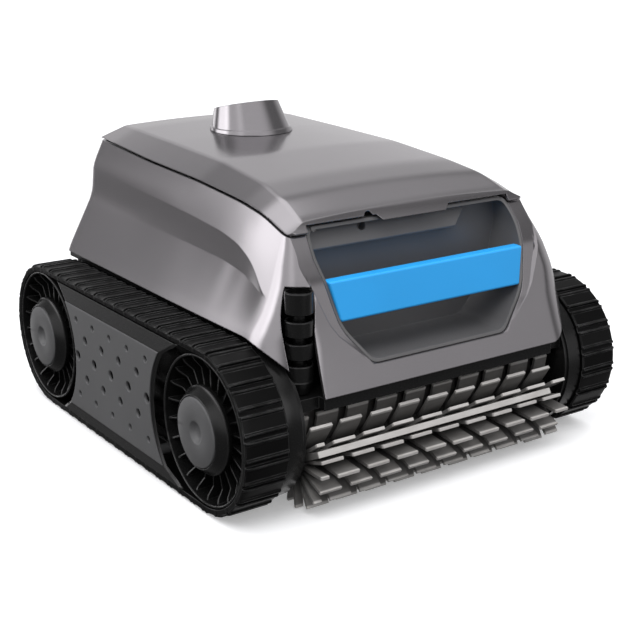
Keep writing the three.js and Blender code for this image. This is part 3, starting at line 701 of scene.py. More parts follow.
def mouth_bevel(side):
    """Tool for the slanting strip between the front face and one side of the recess."""
    rings = []
    for z in np.linspace(116, 232, 59):
        edge = float(np.interp(z, [p[1] for p in RECESS_HALF], [p[0] for p in RECESS_HALF]))
        wide = float(np.interp(z, BEVEL_Z, BEVEL_WIDTH))
        y = front_y(z)
        sunk = float(np.interp(z, SUNK_Z, SUNK_SHARE)) * wide
        inner = y + max(sunk, wide * 0.2) + 0.2
        plan = [(edge - 6, y - 20), (edge + wide + 12, y - 20), (edge + wide, y + sunk), (edge, inner),
                (edge - 6, inner + 1.4)]
        rings.append([(side * x, v, float(z)) for x, v in plan])
    return loft("mouth_bevel", rings)


def make_shell(clean):
    shell = cut(copy(clean), loft("inner", hull_rings(SHELL_WALL)))
    rim = cut(prism("rim", "y", grown(RECESS, 12), -PAST_Y, -140),
              prism("way", "y", RECESS, PAST_FRONT, -130))
    front = prism("front", "x", [(PAST_FRONT, 90), (-176, 90), (-180, 184), (-160, 204), (-145, 222),
                                 (-145, 240), (PAST_FRONT, 240)], -PAST_X, PAST_X)
    shell = join(shell, common(common(rim, copy(clean)), front))
    opening = soft_corners(both_sides(RECESS_HALF[:5] + [(103.5, 225), (102, 240)]), 6)
    toe = [(112, 90), (150, 90), (150, 122), (141.2, 118), (139.6, 110.7), (135.4, 104.6), (129.3, 100.4),
           (122, 98.7)]
    shell = cut(shell, *tunnel(1))
    shell = cut(shell, *tunnel(-1))
    shell = cut(shell, above_parting(-PARTING_GAP), prism("opening", "y", opening, PAST_FRONT, -140),
                prism("niche", "z", soft_corners(NICHE, 4), 60, BUFFER_TOP + 1.6),
                rod("socket", "z", BUFFER_R + 0.8, (80, BUFFER_TOP + 1.4), BUFFER_AT),
                prism("toe", "y", soft_corners(toe, 3), -PAST_Y, -178), mouth_bevel(1), mouth_bevel(-1))
    ears = [side * (HINGE_X + shift) for side in (-1, 1) for shift in (-10, 10)]
    shell = join(shell, hinge_plates(EAR, ears, 5))

    def on_mouth(p):
        return p.y < front_y(p.z) + 6 and 113 < p.z < 118 and abs(p.x) < 70

    rounded(shell, 0.7, 3, 24, wide_edges=on_mouth, wide=2.4, merge=0.02)
    return shaded(shell, crease=on_groove)


def lid_outline(y, offset):
    """Closed section of the hull's top, from the lid's crease to the crown, wide at the base."""
    waist, edge, crease, crown = (Vector(station(k, y)) for k in range(2, 6))
    half = [Vector((waist.x + 30 * 0.4, waist.y - 30)), waist, edge]
    before = crease + (edge - crease).normalized() * 3
    slope = (crown.y - crease.y) * 2.0 / crease.x
    after = crease + Vector((-3, slope * 3))
    for t in np.linspace(0, 1, 5):
        half.append(before * (1 - t) ** 2 + crease * 2 * t * (1 - t) + after * t * t)
    rise = crown.y - after.y
    for share in np.linspace(0, 1, 16)[1:-1]:
        x = after.x * (1 - share)
        half.append(Vector((x, after.y + rise * (1 - (x / after.x) ** 2))))
    outline = [(p.x, p.y) for p in half] + [(0, crown.y)] + [(-p.x, p.y) for p in reversed(half)]
    return grown(outline, -offset)


def lid_body(offset):
    ys = np.concatenate([np.linspace(-200, -150, 12), np.linspace(-146, 206, 76)])
    body = loft("lid", [[(x, float(y), z) for x, z in lid_outline(float(y), offset)] for y in ys])
    heights = np.linspace(196, 280, 30)
    side = [(front_y(z) + offset, float(z)) for z in heights]
    side += [(rear_y(z) - offset, float(z)) for z in reversed(heights)]
    half, front, rear = 123.5, -166, 200
    plan = []
    for x, y, start, r in ((half, front, -90, 9), (half, rear, 0, 4)):
        centre = (x - r, y + r if y < 0 else y - r)
        for t in np.linspace(0, 1, 9):
            angle = math.radians(start + 90 * t)
            reach = r - offset
            plan.append((centre[0] + reach * math.cos(angle), centre[1] + reach * math.sin(angle)))
    return common(body, prism("side", "x", side, -PAST_X, PAST_X),
                  prism("plan", "z", both_sides(plan), 180, 300))


def make_lid():
    lid = common(lid_body(0), above_parting(0))
    lid = cut(lid, lid_body(SHELL_WALL))
    half, edge, tab = 104.5, LID_FRONT_Z, LID_FRONT_Z - 4.6
    front = [(-half, 180), (half, 180), (half, edge), (39, edge), (34, tab), (-31, tab), (-36, edge),
             (-half, edge)]
    lid = cut(lid, rod("throat", "z", 33, (200, 300), (0, OUTLET_Y), 96),
              prism("front", "y", front, PAST_FRONT, -150),
              rod("latch", "y", LATCH_R, (-PAST_Y, -152), (LATCH_X, edge - 1.2), 32))
    lid = join(lid, hinge_plates(KNUCKLE, (-HINGE_X, HINGE_X), 14))
    rounded(lid, 0.8, 3, 24, merge=0.02)
    return shaded(lid, 18)


def make_liner():
    block = common(prism("liner", "y", grown(RECESS, -0.4), -PAST_Y, RECESS_BACK_Y + SHELL_WALL),
                   loft("liner_space", hull_rings(2.2)))
    top = prism("top", "x", [(-PAST_Y, 218.4), (-161.5, 218.4), (-160, 221.6), (-140, 221.6), (-140, 240),
                             (-PAST_Y, 240)], -120, 120)
    pocket = prism("pocket", "y", soft_corners(grown(both_sides(RECESS_HALF), -SHELL_WALL), 7), PAST_FRONT,
                   RECESS_BACK_Y)
    band = common(prism("band", "x", [(-147, 198.6), (-157.5, 200.6), (-157.8, 202), (-149.4, 222),
                                      (-147, 222)], -105, 90),
                  prism("ends", "y", [(-105, 195), (46, 195), (50, 200), (72, 222), (-107, 222)], -170, -140))
    liner = cut(join(cut(block, pocket), band), top, mouth_bevel(1), mouth_bevel(-1))
    liner = cut(liner, rod("latch_hole", "y", 4, (-158, -146.2), (LATCH_X, 214), 32))
    rounded(liner, 0.8, 2)
    return shaded(liner)


def make_handle():
    bar = [(-195.3, 151.5), (-186, 149.5), (-174, 156), (-172, 174), (-179, 183.4), (-188.8, 183)]
    handle = common(prism("bar", "x", bar, -112, 112),
                    prism("ends", "y", grown(both_sides(RECESS_HALF), -SHELL_WALL - 0.3), -PAST_Y, -140))
    rounded(handle, 2.6, 4, 15)
    return shaded(handle, 40)


def make_buffer():
    """A stack of open cups on a stem, over a tapering foot."""
    cups, gap, depth, r = 4, 4.8, 5, BUFFER_R
    base = DECK_Z[1] + 0.3
    foot = base + 11.5
    pitch = (BUFFER_TOP - foot) / cups
    profile = [(0, base), (6.6, base), (8.2, base + 1.5), (r - 0.4, foot - 1.2), (r, foot - 0.6),
               (r - 0.3, foot)]
    for i in range(cups):
        last = i == cups - 1
        low = foot + i * pitch
        high = BUFFER_TOP if last else foot + (i + 1) * pitch - gap
        profile += [(r - 0.7, low + 0.4), (r - 0.1, low + 1), (r - 0.1, high - 0.7), (r - 0.5, high - 0.2),
                    (r - 1, high), (r - 1.6, high - 0.4), (r - 2, high - depth), (5.2, high - depth)]
        if not last:
            profile += [(5, high + 5), (r - 2, high + 5.2)]
    profile.append((0, BUFFER_TOP - depth))
    return shaded(turned("buffer", "z", profile, BUFFER_AT, 64), 35)


# ---- outlet ----
NOZZLE_SEAT, NOZZLE_BASE_R, NOZZLE_LEAN = 258, 38, 9 / 31


def about_outlet(body, angle):
    """Moves a body made about the origin to the outlet's axis, turned by the angle."""
    body.data.transform(Matrix.Translation((0, OUTLET_Y * MM, 0)) @ Matrix.Rotation(angle, 4, "Z"))
    return body


def leaning_cone(inwards, low, high, steps=96):
    """A cone whose centre moves back as fast as its radius shrinks, so that its rear wall is upright."""
    rings = []
    for z in np.linspace(low, high, 14):
        rise = z - NOZZLE_SEAT
        r = NOZZLE_BASE_R - NOZZLE_LEAN * rise - inwards
        y = OUTLET_Y + NOZZLE_LEAN * rise
        angles = (2 * math.pi * i / steps for i in range(steps))
        rings.append([(r * math.cos(a), y + r * math.sin(a), float(z)) for a in angles])
    return loft("cone", rings)


def make_nozzle(lid_top):
    mouth = prism("mouth", "x", [(20, 297), (160, 264.4), (160, 340), (20, 340)], -60, 60)
    flare = leaning_cone(-1.6, NOZZLE_SEAT - 8, NOZZLE_SEAT + 3.2)
    nozzle = join(leaning_cone(0, 250, 300), flare)
    nozzle = cut(nozzle, leaning_cone(3, 240, 310), mouth, lid_top)
    rounded(nozzle, 1.0, 3)
    return shaded(nozzle, 35)


def make_grille():
    ring = tube("ring", "z", 28, 32.4, (253.6, 256.6), (0, OUTLET_Y))
    bars = [box("bar", (x - 1.2, x + 1.2), (OUTLET_Y - half, OUTLET_Y + half), (253.7, 256.5))
            for x, half in ((x, math.sqrt(30 ** 2 - x ** 2)) for x in (-14, 0, 14))]
    hoop = tube("hoop", "z", 13, 15.2, (253.8, 256.4), (0, OUTLET_Y), 48)
    grille = join(ring, batch(bars))
    grille = join(grille, hoop)
    return shaded(rounded(grille, 0.5, 2))


def make_duct():
    duct = tube("duct", "z", 35.5, 38.4, (190, 246), (0, OUTLET_Y), 96)
    legs = []
    for angle in (math.pi / 2, 7 * math.pi / 6, 11 * math.pi / 6):
        legs.append(about_outlet(box("leg", (35.5, 38.5), (-5, 5), (PUMP_TOP + 0.3, 194.3)), angle))
    return shaded(rounded(join(duct, batch(legs)), 0.8, 2))


def make_propeller():
    seat = PUMP_TOP + 0.4
    hub = turned("hub", "z", [(0, seat), (4, seat), (4, 224), (8, 225), (8, 236), (5.5, 239.5), (0, 240)],
                 (0, OUTLET_Y), 48)
    blade_count, blade_z, root, length = 4, 231, 5, 27
    blades = []
    for i in range(blade_count):
        rings = []
        for share in np.linspace(0, 1, 8):
            pitch = math.radians(48 - 26 * share)
            chord = 7 + 3.5 * math.sin(math.pi * min(1, share * 0.9 + 0.1))
            half = 1.1 - 0.5 * share
            ring = []
            for u, v in ((-1, 0), (-0.5, 1), (0.5, 1), (1, 0), (0.5, -1), (-0.5, -1)):
                along, across = u * chord, v * half
                ring.append((root + length * share, along * math.cos(pitch) - across * math.sin(pitch),
                             blade_z + along * math.sin(pitch) + across * math.cos(pitch)))
            rings.append(ring)
        blades.append(about_outlet(loft("blade", rings), 2 * math.pi * i / blade_count))
    return shaded(join(hub, batch(blades)), 35)


# ---- tub ----
TUB_HALF, TUB_END_Y, TUB_FLOOR_Z = 140, 137, (14, 17)
STANDING_Z = TUB_FLOOR_Z[1] + 0.3
DECK_HALF, DECK_END_Y = 139, 202
LIP_HALF, LIP_Y = 120, (190, 209.6)
FLANGE_X, FLANGE_END_Y, FLANGE_Z = 152, 178, (135.5, 139.4)
INLET_X, INLET_Y = (-42, 42), (-68, -49)
RIB_HALF, RIB_Y, RIB_Z = 118, (-110, -90, 0, 30, 60, 90, 115), (12.4, 15)
POSTS = [(y, z) for y in (-60, 60) for z in (20, 118)]
AXLE_BORE_R, BRUSH_BORE_R, DRIVE_BORE_R = 7.4, 9, 5.6


def shaft_holes(span):
    bores = []
    for end in (-1, 1):
        bores.append(rod("axle_bore", "x", AXLE_BORE_R, span, (end * AXLE_Y, AXLE_Z)))
        bores.append(rod("brush_bore", "x", BRUSH_BORE_R, span, (end * BRUSH_Y, BRUSH_Z)))
    return batch(bores + [rod("drive_bore", "x", DRIVE_BORE_R, span, (DRIVE_Y, AXLE_Z))])


def buffer_pocket(side):
    return rod("pocket", "z", BUFFER_R + 0.6, (80, BUFFER_TOP + 3), (side * -BUFFER_AT[0], BUFFER_AT[1]), 40)


def make_tub():
    tub = box("floor", (-TUB_HALF, TUB_HALF), (-TUB_END_Y, TUB_END_Y), TUB_FLOOR_Z)
    tub = cut(tub, box("inlet", INLET_X, INLET_Y, (0, 30)))
    for end in (-1, 1):
        wall, deck = facing(end, TUB_END_Y - 3, TUB_END_Y), facing(end, TUB_END_Y - 3, DECK_END_Y)
        tub = join(tub, box("end", (-DECK_HALF, DECK_HALF), wall, (TUB_FLOOR_Z[0], DECK_Z[0] + 2)),
                   box("deck", (-DECK_HALF, DECK_HALF), deck, DECK_Z),
                   box("lip", (-LIP_HALF, LIP_HALF), facing(end, *LIP_Y), DECK_Z))
    cheeks = []
    for side in (1, -1):
        plate, flange = facing(side, *CHEEK_X), facing(side, CHEEK_X[1] - 1, FLANGE_X)
        cheek = join(prism("cheek", "x", stadium(CASING_R - 1.5), *plate),
                     box("web", plate, (-125, FLANGE_END_Y), (AXLE_Z, FLANGE_Z[1])),
                     box("flange", flange, (-118, FLANGE_END_Y), FLANGE_Z))
        cheeks.append(cut(cheek, shaft_holes(facing(side, 130, 150)), buffer_pocket(side)))
    ribs = [box("rib", (-RIB_HALF, RIB_HALF), (y - 1, y + 1), RIB_Z) for y in RIB_Y]
    tub = join(join(tub, *cheeks), batch(ribs))
    return shaded(rounded(tub, 1.0, 2))


def make_casing():
    tray = cut(prism("casing", "x", stadium(CASING_R, 48), *CASING_X),
               prism("tray", "x", stadium(CASING_R - 3, 48), CASING_X[0] + 3.5, 160), shaft_holes((140, 150)),
               buffer_pocket(1))
    bosses = batch([rod("boss", "x", 6.5, (CASING_X[0] + 3, CASING_X[1]), post) for post in POSTS])
    return shaded(rounded(join(tray, bosses), 1.1, 3))


# ---- tracks and wheels ----
def track_point(distance, radius):
    """(y, z) at a distance along the belt, which runs forwards on top, and a radius from the axles."""
    straight, arc = 2 * AXLE_Y, math.pi * BELT_R
    s = distance % (2 * (straight + arc))
    if s < straight:
        return (AXLE_Y - s, AXLE_Z + radius)
    if s < straight + arc:
        angle = math.pi / 2 + (s - straight) / BELT_R
        return (-AXLE_Y + radius * math.cos(angle), AXLE_Z + radius * math.sin(angle))
    if s < 2 * straight + arc:
        return (-AXLE_Y + s - straight - arc, AXLE_Z - radius)
    angle = -math.pi / 2 + (s - 2 * straight - arc) / BELT_R
    return (AXLE_Y + radius * math.cos(angle), AXLE_Z + radius * math.sin(angle))


# One plate of the tread: (share of the pitch, height) with a rounded rib along both of its long edges.
LUG = [(0, 0), (0.02, 0.2), (0.04, 2.5), (0.065, 2.95), (0.105, 2.95), (0.135, 2.4), (0.165, 1.5),
       (0.42, 1.4), (0.68, 1.5), (0.71, 2.4), (0.74, 2.95), (0.78, 2.95), (0.805, 2.5), (0.825, 0.2),
       (0.85, 0)]
# Across the belt: (x, share of the lug's height, how far the ribs of neighbouring plates lean together).
BELT_STATIONS = [(BELT_X[0], 0.35, 0), (156.8, 0.9, 0), (158, 1, 0), (188, 1, 0), (192, 1, 0.35),
                 (194.2, 0.75, 0.6), (BELT_X[1], 0.3, 0.6)]


def make_belt():
    pitch = 2 * (2 * AXLE_Y + math.pi * BELT_R) / LUG_COUNT
    sections = []
    for lug in range(LUG_COUNT):
        for share, height in LUG:
            inner = track_point((lug + share) * pitch, BELT_INNER_R)
            section = [(BELT_X[1] - 0.5, *inner), (BELT_X[0] + 0.5, *inner)]
            for x, scale, lean in BELT_STATIONS:
                shift = lean * 0.05 * (-1 if share < 0.45 else 1) * (1 if height > 2.2 else 0)
                y, z = track_point((lug + share + shift) * pitch, BELT_R + height * scale)
                section.append((x, y, z))
            sections.append(section)
    return shaded(sweep("belt", sections), 24)


FIN_COUNT = 22
CAP_SPLIT_R = 28.6


def make_wheel(y):
    rim = WHEEL_R
    profile = [(9.6, 155.5), (14, 155.5), (14, 170), (rim - 3, 170), (rim - 3, 157.6), (rim - 2.4, 157),
               (rim - 0.5, 157), (rim, 157.5), (rim, 193.2), (rim - 0.6, 194), (rim - 1.6, 194),
               (rim - 2.2, 193.4), (rim - 3, 184), (rim - 4, 176), (rim - 6, 173.5), (30, 173.5), (30, 186),
               (29.4, 186.5), (9.6, 186.5)]
    dish = turned("wheel", "x", profile, (y, AXLE_Z), 120)
    outline = [(28, 172), (rim - 2.4, 172), (rim - 2.4, 190.5), (rim - 6, 189.5), (rim - 13, 184.5),
               (28, 184.5)]
    fins = []
    for i in range(FIN_COUNT):
        fin = loft("fin", [[(x, r, t) for r, x in outline] for t in (-0.75, 0.75)])
        fin.data.transform(Matrix.Translation((0, y * MM, AXLE_Z * MM))
                           @ Matrix.Rotation(2 * math.pi * (i + 0.5) / FIN_COUNT, 4, "X"))
        fins.append(fin)
    return shaded(rounded(join(dish, batch(fins)), 0.35, 2))


def make_cap(y):
    r, face = CAP_SPLIT_R, CAP_FACE_X
    profile = [(0, 188), (26, 188), (r - 0.4, 190), (r - 0.1, face - 1.0), (r - 0.5, face - 0.3),
               (r - 1.3, face), (10.5, face), (9.4, face - 0.2), (8.2, face - 1.2), (6.6, face - 2.7),
               (4.2, face - 3.6), (0, face - 3.8)]
    return shaded(turned("cap", "x", profile, (y, AXLE_Z), 96), 24)


def make_cap_ring(y):
    """Dark collar round the disc of a hub cap."""
    r, face = CAP_SPLIT_R, CAP_FACE_X
    profile = [(24, 187), (34.6, 187), (36.2, 187.5), (36.5, 188.4), (36.5, 190.6), (36.1, 191.4),
               (35.4, 191.8), (34.8, 192.4), (34.2, 193), (r + 1.4, face - 0.9), (r + 0.9, face - 0.7),
               (r + 0.4, face - 0.9), (r + 0.1, face - 1.4), (r, 189.6), (26, 187.8), (24, 187.8)]
    return shaded(turned("cap_ring", "x", profile, (y, AXLE_Z), 96), 24)


# Rows of holes in the side panel: (height, count, radius).
HOLE_ROWS = [(106.1, 5, 2.6), (90.2, 4, 3.7), (72.2, 5, 4.3), (53.5, 4, 3.7), (35.5, 5, 2.6)]
HOLE_PITCH = 33.3
PANEL_HALF, PANEL_CUT_HALF = 116, 118
PANEL_PLATE_Z = (20, 118)
PANEL_LIP_R = 76.4
PANEL_SPAN = (180, 210)


def panel_section(grow):
    """Outline (x, z) of the panel, its face moved outwards by grow."""
    face, inside = PANEL_X + grow, PANEL_X - 2.5
    return [(192.9, 7.6), (195.4, 7.6), (face, 20.5), (face, 117.5), (195.4, 130.6), (192.9, 130.6),
            (inside, 117), (inside, 21)]


def arches(radius, span):
    return [rod("arch", "x", radius, span, (end * AXLE_Y, AXLE_Z), 160) for end in (-1, 1)]


def make_panel():
    plate = common(prism("panel", "y", panel_section(0), -PANEL_CUT_HALF, PANEL_CUT_HALF),
                   box("face", PANEL_SPAN, (-PANEL_HALF, PANEL_HALF), PANEL_PLATE_Z))
    plate = cut(plate, *arches(PANEL_LIP_R, PANEL_SPAN))
    posts = batch([rod("post", "x", 5, (CASING_X[1] + 0.3, PANEL_X - 2.3), post) for post in POSTS])
    holes = []
    for z, count, radius in HOLE_ROWS:
        narrow = radius * 0.95
        profile = [(0, 190), (narrow, 190), (narrow, PANEL_X - 1.2), (radius + 0.2, PANEL_X - 0.4),
                   (radius + 1.2, PANEL_X + 0.6), (0, PANEL_X + 0.6)]
        for i in range(count):
            holes.append(turned("hole", "x", profile, ((i - (count - 1) / 2) * HOLE_PITCH, z), 28))
    plate = cut(join(plate, posts), batch(holes))
    return shaded(rounded(plate, 0.4, 2, 10), 5)


def make_panel_shade():
    """Black surround of a side panel, its sloping edges and the hollow lips beside the wheels: painted shade,
    as these are the panel's grey plastic where it lies in shade.
    """
    surround = common(prism("surround", "y", panel_section(-0.7), -PANEL_CUT_HALF, PANEL_CUT_HALF),
                      box("length", PANEL_SPAN, (-PANEL_HALF, PANEL_HALF), (0, 140)))
    dish = [(60, 190), (70.6, PANEL_X - 4.2), (73.6, PANEL_X - 1.9), (PANEL_LIP_R, PANEL_X - 0.9),
            (PANEL_LIP_R, 220), (60, 220)]
    dishes = [turned("dish", "x", dish, (end * AXLE_Y, AXLE_Z), 160) for end in (-1, 1)]
    plate_space = cut(box("plate_space", PANEL_SPAN, (-PANEL_CUT_HALF, PANEL_CUT_HALF), PANEL_PLATE_Z),
                      *arches(PANEL_LIP_R, (170, 215)))
    surround = cut(surround, plate_space, *dishes, *arches(PANEL_CUT_R, PANEL_SPAN))
    return shaded(rounded(surround, 0.5, 2, 12), 8)


# ---- brushes ----
BLADE_ROWS, BLADE_PITCH, BLADE_WIDTH = 18, 29.2, 20.5
BLADE_THICK, SEAM_THICK = 2.7, 5
FIRST_ROW, SEAM_TURN = 36.6, 65.6


def make_blades(end):
    """Rows of flexible blades, every other row shifted by half a pitch, and one seam rib along the sleeve."""
    chance = random.Random(11 + end)
    root, reach = BRUSH_CORE_R + 1.6, BRUSH_HALF - 4

    def blade(turn, first, last, tip, thick, bend):
        turning = Matrix.Rotation(math.radians(turn), 3, "X")
        rings = []
        for share in np.linspace(0, 1, 7):
            radius = root + (tip - root) * share
            half = thick / 2 * (1.25 - 0.25 * share)
            sway = bend * share * share
            ring = [(x * MM, (sway + side * half) * MM, radius * MM)
                    for x, side in ((first, -1), (last, -1), (last, 1), (first, 1))]
            rings.append([work.verts.new(turning @ Vector(p)) for p in ring])
        for low, high in zip(rings, rings[1:]):
            for i in range(4):
                work.faces.new((low[i], low[(i + 1) % 4], high[(i + 1) % 4], high[i]))
        work.faces.new(list(reversed(rings[0])))
        work.faces.new(rings[-1])

    sleeve = tube("sleeve", "x", BRUSH_CORE_R + 0.3, BRUSH_CORE_R + 2.6, (2 - BRUSH_HALF, BRUSH_HALF - 2),
                  (0, 0), 64)
    with editing(sleeve.data) as work:
        blade(SEAM_TURN, -reach, reach - 19, BRUSH_TIP_R - 1.6, SEAM_THICK, 0)
        for row in range(BLADE_ROWS):
            shift = -3.5 + BLADE_PITCH / 2 * (row % 2)
            for k in range(-5, 6):
                centre = shift + BLADE_PITCH * k
                first, last = max(centre - BLADE_WIDTH / 2, -reach), min(centre + BLADE_WIDTH / 2, reach)
                if last - first > 6:
                    blade(FIRST_ROW + row * 360 / BLADE_ROWS + chance.uniform(-0.8, 0.8), first, last,
                          BRUSH_TIP_R - chance.uniform(0.2, 1.4), BLADE_THICK, chance.uniform(0.2, 2.2))
        bmesh.ops.recalc_face_normals(work, faces=work.faces)
    sleeve.data.transform(Matrix.Translation((0, end * BRUSH_Y * MM, BRUSH_Z * MM)))
    step = sleeve.modifiers.new("rounding", "BEVEL")
    step.width = 0.4 * MM
    step.segments = 2
    step.angle_limit = math.radians(50)
    return shaded(settle(sleeve), 35)


def make_roller(end, driven_side):
    reaches = {driven_side: 151.5, -driven_side: CASING_X[0] + 3.4}
    left, right, half = -reaches[-1], reaches[1], BRUSH_HALF
    profile = [(0, left), (4.6, left), (5, left + 0.5), (5, -half), (11, -half), (BRUSH_CORE_R, 0.8 - half),
               (BRUSH_CORE_R, half - 0.8), (11, half), (5, half), (5, right - 0.5), (4.6, right), (0, right)]
    return shaded(turned("roller", "x", profile, (end * BRUSH_Y, BRUSH_Z), 64))


# ---- inside ----
def make_pump():
    profile = [(0, STANDING_Z), (36, STANDING_Z), (40, 20), (41, 24), (41, 132), (39.8, 133), (39.8, 137),
               (41, 138), (41, 143), (38.4, 149), (36.4, PUMP_TOP), (9, PUMP_TOP), (9, 148.5), (0, 148.5)]
    pump = turned("pump", "z", profile, (0, OUTLET_Y), 96)
    count = 8
    grooves = [about_outlet(box("groove", (39.6, 43), (-1.2, 1.2), (30, 122)), 2 * math.pi * i / count)
               for i in range(count)]
    return shaded(rounded(cut(pump, batch(grooves)), 0.5, 2))


def make_drive_motor():
    axis = (111, 68)
    gearbox = rounded(box("gearbox", (104, CHEEK_X[0] - 0.4), (92, 133), (48, 94)), 3, 3)
    can = turned("can", "x", [(0, 50), (15, 50), (18, 53), (18, 58), (17.2, 59), (17.2, 96), (18, 97),
                              (18, 105), (0, 105)], axis, 64)
    return shaded(join(gearbox, can))


def make_basket():
    x, y0, y1, top, floor, wall = 86, -128, 30, 196, (46, 49), 2.5

    def block(grow, low, high):
        return box("block", (-x - grow, x + grow), (y0 - grow, y1 + grow), (low, high))
    basket = cut(block(0, STANDING_Z, top), block(-wall, floor[1], top + 5),
                 block(-wall, STANDING_Z - 5, floor[0]),
                 box("port", (-40, 40), (-72, -40), (40, 55)))
    slots = []
    pitch, half = 28, 11
    for z in np.arange(62, 180, 9):
        heights = (z, z + 4.5)
        for k in range(6):
            middle = -70 + pitch * k
            for ys in ((y0 - 2, y0 + 4), (y1 - 4, y1 + 2)):
                slots.append(box("slot", (middle - half, middle + half), ys, heights))
        for k in range(5):
            middle = -105 + pitch * k
            for side in (-1, 1):
                slots.append(box("slot", facing(side, x - 4, x + 2), (middle - half, middle + half), heights))
    basket = cut(basket, batch(slots))
    return shaded(rounded(basket, 0.5, 1))


GLAND_AT = (-90, 165)


def make_gland():
    gland = turned("gland", "y", [(0, 187.1), (12.4, 187.1), (13, 187.7), (13, 189.6), (12.5, 190.1),
                                  (8.6, 190.1), (8.6, 201), (8, 202), (5.4, 205.1), (4.2, 205.1), (4.2, 200),
                                  (0, 200)], GLAND_AT, 64)
    return shaded(gland, 30)


def make_gland_nut():
    x, z = GLAND_AT
    hexagon = [(x + 12 * math.sin(a), z + 12 * math.cos(a)) for a in np.linspace(0, 2 * math.pi, 7)[:-1]]
    nut = cut(prism("nut", "y", hexagon, 193.6, 199.6), rod("bore", "y", 8.9, (190, 205), GLAND_AT))
    return shaded(rounded(nut, 0.8, 2))


def make_flap():
    width, hinge = (-44, 44), (-45, 21)
    flap = join(rounded(box("flap", width, (-71, hinge[0]), (19.2, 20.8)), 0.5, 2),
                rod("pin", "x", 2, width, hinge, 32))
    return shaded(flap)


# ---- putting the pieces in place ----
clean_hull = loft("clean_hull", hull_rings(0))
lid_top = lid_body(-0.3)
place(make_shell(clean_hull), "body_shell")
place(make_lid(), "lid")
place(make_nozzle(lid_top), "outlet_nozzle")
bpy.data.objects.remove(clean_hull)
for make, node in ((make_liner, "recess_liner"), (make_handle, "handle_grip"), (make_buffer, "corner_buffer"),
                   (make_grille, "outlet_grille"), (make_duct, "outlet_duct"), (make_propeller, "propeller"),
                   (make_tub, "chassis_tub")):
    place(make(), node)
for make, node in ((make_casing, "drive_casing"), (make_belt, "track_belt"), (make_panel, "side_panel")):
    place_pair(make(), node)
# Each side panel's black surround is painted shade on the panel's own edges and lips.
extra_pair(make_panel_shade(), "panel_shade_surround", "side_panel")
for end_name, end in (("front", -1), ("rear", 1)):
    place_pair(make_wheel(end * AXLE_Y), "wheel_" + end_name)
    place_pair(make_cap(end * AXLE_Y), "hub_cap_" + end_name)
    extra_pair(make_cap_ring(end * AXLE_Y), "cap_ring_" + end_name, "hub_cap_" + end_name)
    place(make_blades(end), "brush_blades_" + end_name)
    place(make_roller(end, end), "brush_roller_" + end_name)
place(make_pump(), "pump_motor")
place_pair(make_drive_motor(), "drive_motor")
for make, node in ((make_basket, "filter_basket"), (make_gland, "cable_gland"), (make_gland_nut, "gland_nut"),
                   (make_flap, "inlet_flap")):
    place(make(), node)

for node, piece in frame["nodes"].items():
    piece.data.materials.clear()
    piece.data.materials.append(MATERIALS[SLOT_OF[node]])


# ---- studio ----
FLOOR_HALF, FLOOR_Z = 12000, -0.2


def add_floor():
    corners = [(x, y, FLOOR_Z) for x, y in ((-FLOOR_HALF, -FLOOR_HALF), (FLOOR_HALF, -FLOOR_HALF),
                                            (FLOOR_HALF, FLOOR_HALF), (-FLOOR_HALF, FLOOR_HALF))]
    floor = solid("floor", corners, [(0, 1, 2, 3)])
    shader = Shader("floor")
    clouds = shader.ramp(shader.noise(3, 2), 0.3, 0.7)
    shader.surface("Base Color", shader.mix(clouds, tone(238, 238, 239), tone(242, 242, 243)))
    shader.surface("Roughness", 0.9)
    shader.surface("Emission Color", (1, 1, 1, 1))
    shader.surface("Emission Strength", 0.3)
    floor.data.materials.append(shader.material)
    floor.visible_glossy = False
    floor.visible_diffuse = False


def add_light(name, place_at, target, size, power):
    data = bpy.data.lights.new(name, "AREA")
    data.shape = "RECTANGLE"
    data.size, data.size_y = size
    data.energy = power
    light = linked(name, data)
    light.visible_glossy = False
    aim = (Vector(target) - Vector(place_at)).to_track_quat("-Z", "Y")
    light.matrix_world = Matrix.Translation(place_at) @ aim.to_matrix().to_4x4()


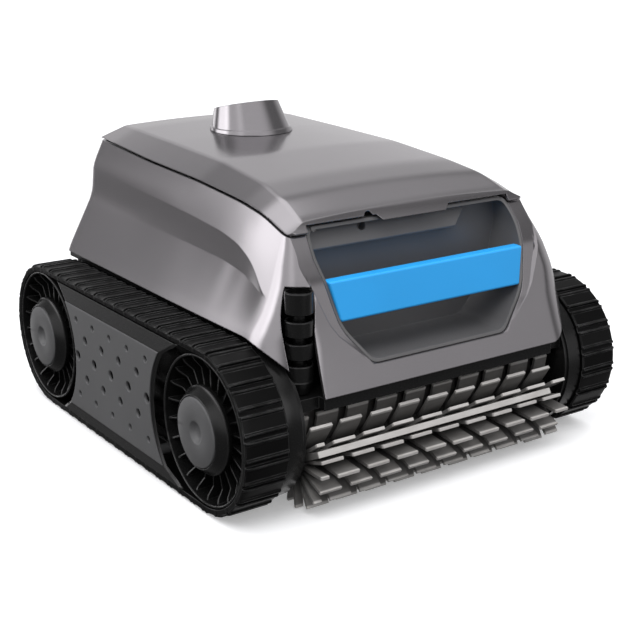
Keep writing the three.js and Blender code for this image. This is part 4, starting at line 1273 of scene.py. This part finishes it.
# What gloss sees of the room: soft panels as (azimuth, elevation, radius, brightness), with the angles of
# heading(). A panel is full within PANEL_CORE of its radius and fades out at PANEL_RIM of it.
ROOM_LEVEL = 0.15
PANEL_CORE, PANEL_RIM = 0.6, 1.25
ROOM_PANELS = [(156, 13, 26, 0.5), (160, 61, 18, 1.4), (-125, 16, 22, 2.6), (-84, 24, 30, 0.8),
               (-12, 66, 40, 0.7), (8, 12, 20, 1.4), (44, 8, 16, 0.4), (180, 37, 50, 0.1), (112, 46, 18, 0.3),
               (110, -20, 40, 0.5), (-174, -6, 13, 1.4)]


def add_room():
    """Soft panels for glossy rays, a soft dome for diffuse rays, and plain white for the camera."""
    world = bpy.data.worlds.new("room")
    world.use_nodes = True
    bpy.context.scene.world = world
    world.node_tree.nodes.clear()
    room = Nodes(world.node_tree)
    direction = room.node("ShaderNodeTexCoord").outputs["Generated"]
    total = ROOM_LEVEL
    for azimuth, elevation, radius, level in ROOM_PANELS:
        near, far = (math.cos(math.radians(radius * share)) for share in (PANEL_CORE, PANEL_RIM))
        centred = room.dot(direction, heading(azimuth, elevation))
        panel = room.ramp(centred, far, near, 0, level, interpolation_type="SMOOTHSTEP")
        total = room.math("ADD", panel, total)
    height = room.node("ShaderNodeSeparateXYZ", {0: direction}).outputs["Z"]
    dome = room.ramp(height, -0.15, 0.9, 0.12, 1.5)
    backdrops = (((1, 0.99, 1, 1), total), ((0.98, 0.985, 1, 1), dome), ((1, 1, 1, 1), 1))
    gloss, soft, plain = (room.node("ShaderNodeBackground", {0: colour, 1: strength}).outputs[0]
                          for colour, strength in backdrops)
    path = room.node("ShaderNodeLightPath")
    lit = room.node("ShaderNodeMixShader", {0: path.outputs["Is Glossy Ray"], 1: soft, 2: gloss})
    seen = room.node("ShaderNodeMixShader", {0: path.outputs["Is Camera Ray"], 1: lit.outputs[0], 2: plain})
    room.node("ShaderNodeOutputWorld", {"Surface": seen.outputs[0]})


add_floor()
add_room()
add_light("key", (-0.9, -0.9, 1.9), (0, 0, 0.1), (1.2, 1.2), 16)
bpy.context.scene.view_settings.view_transform = "Standard"
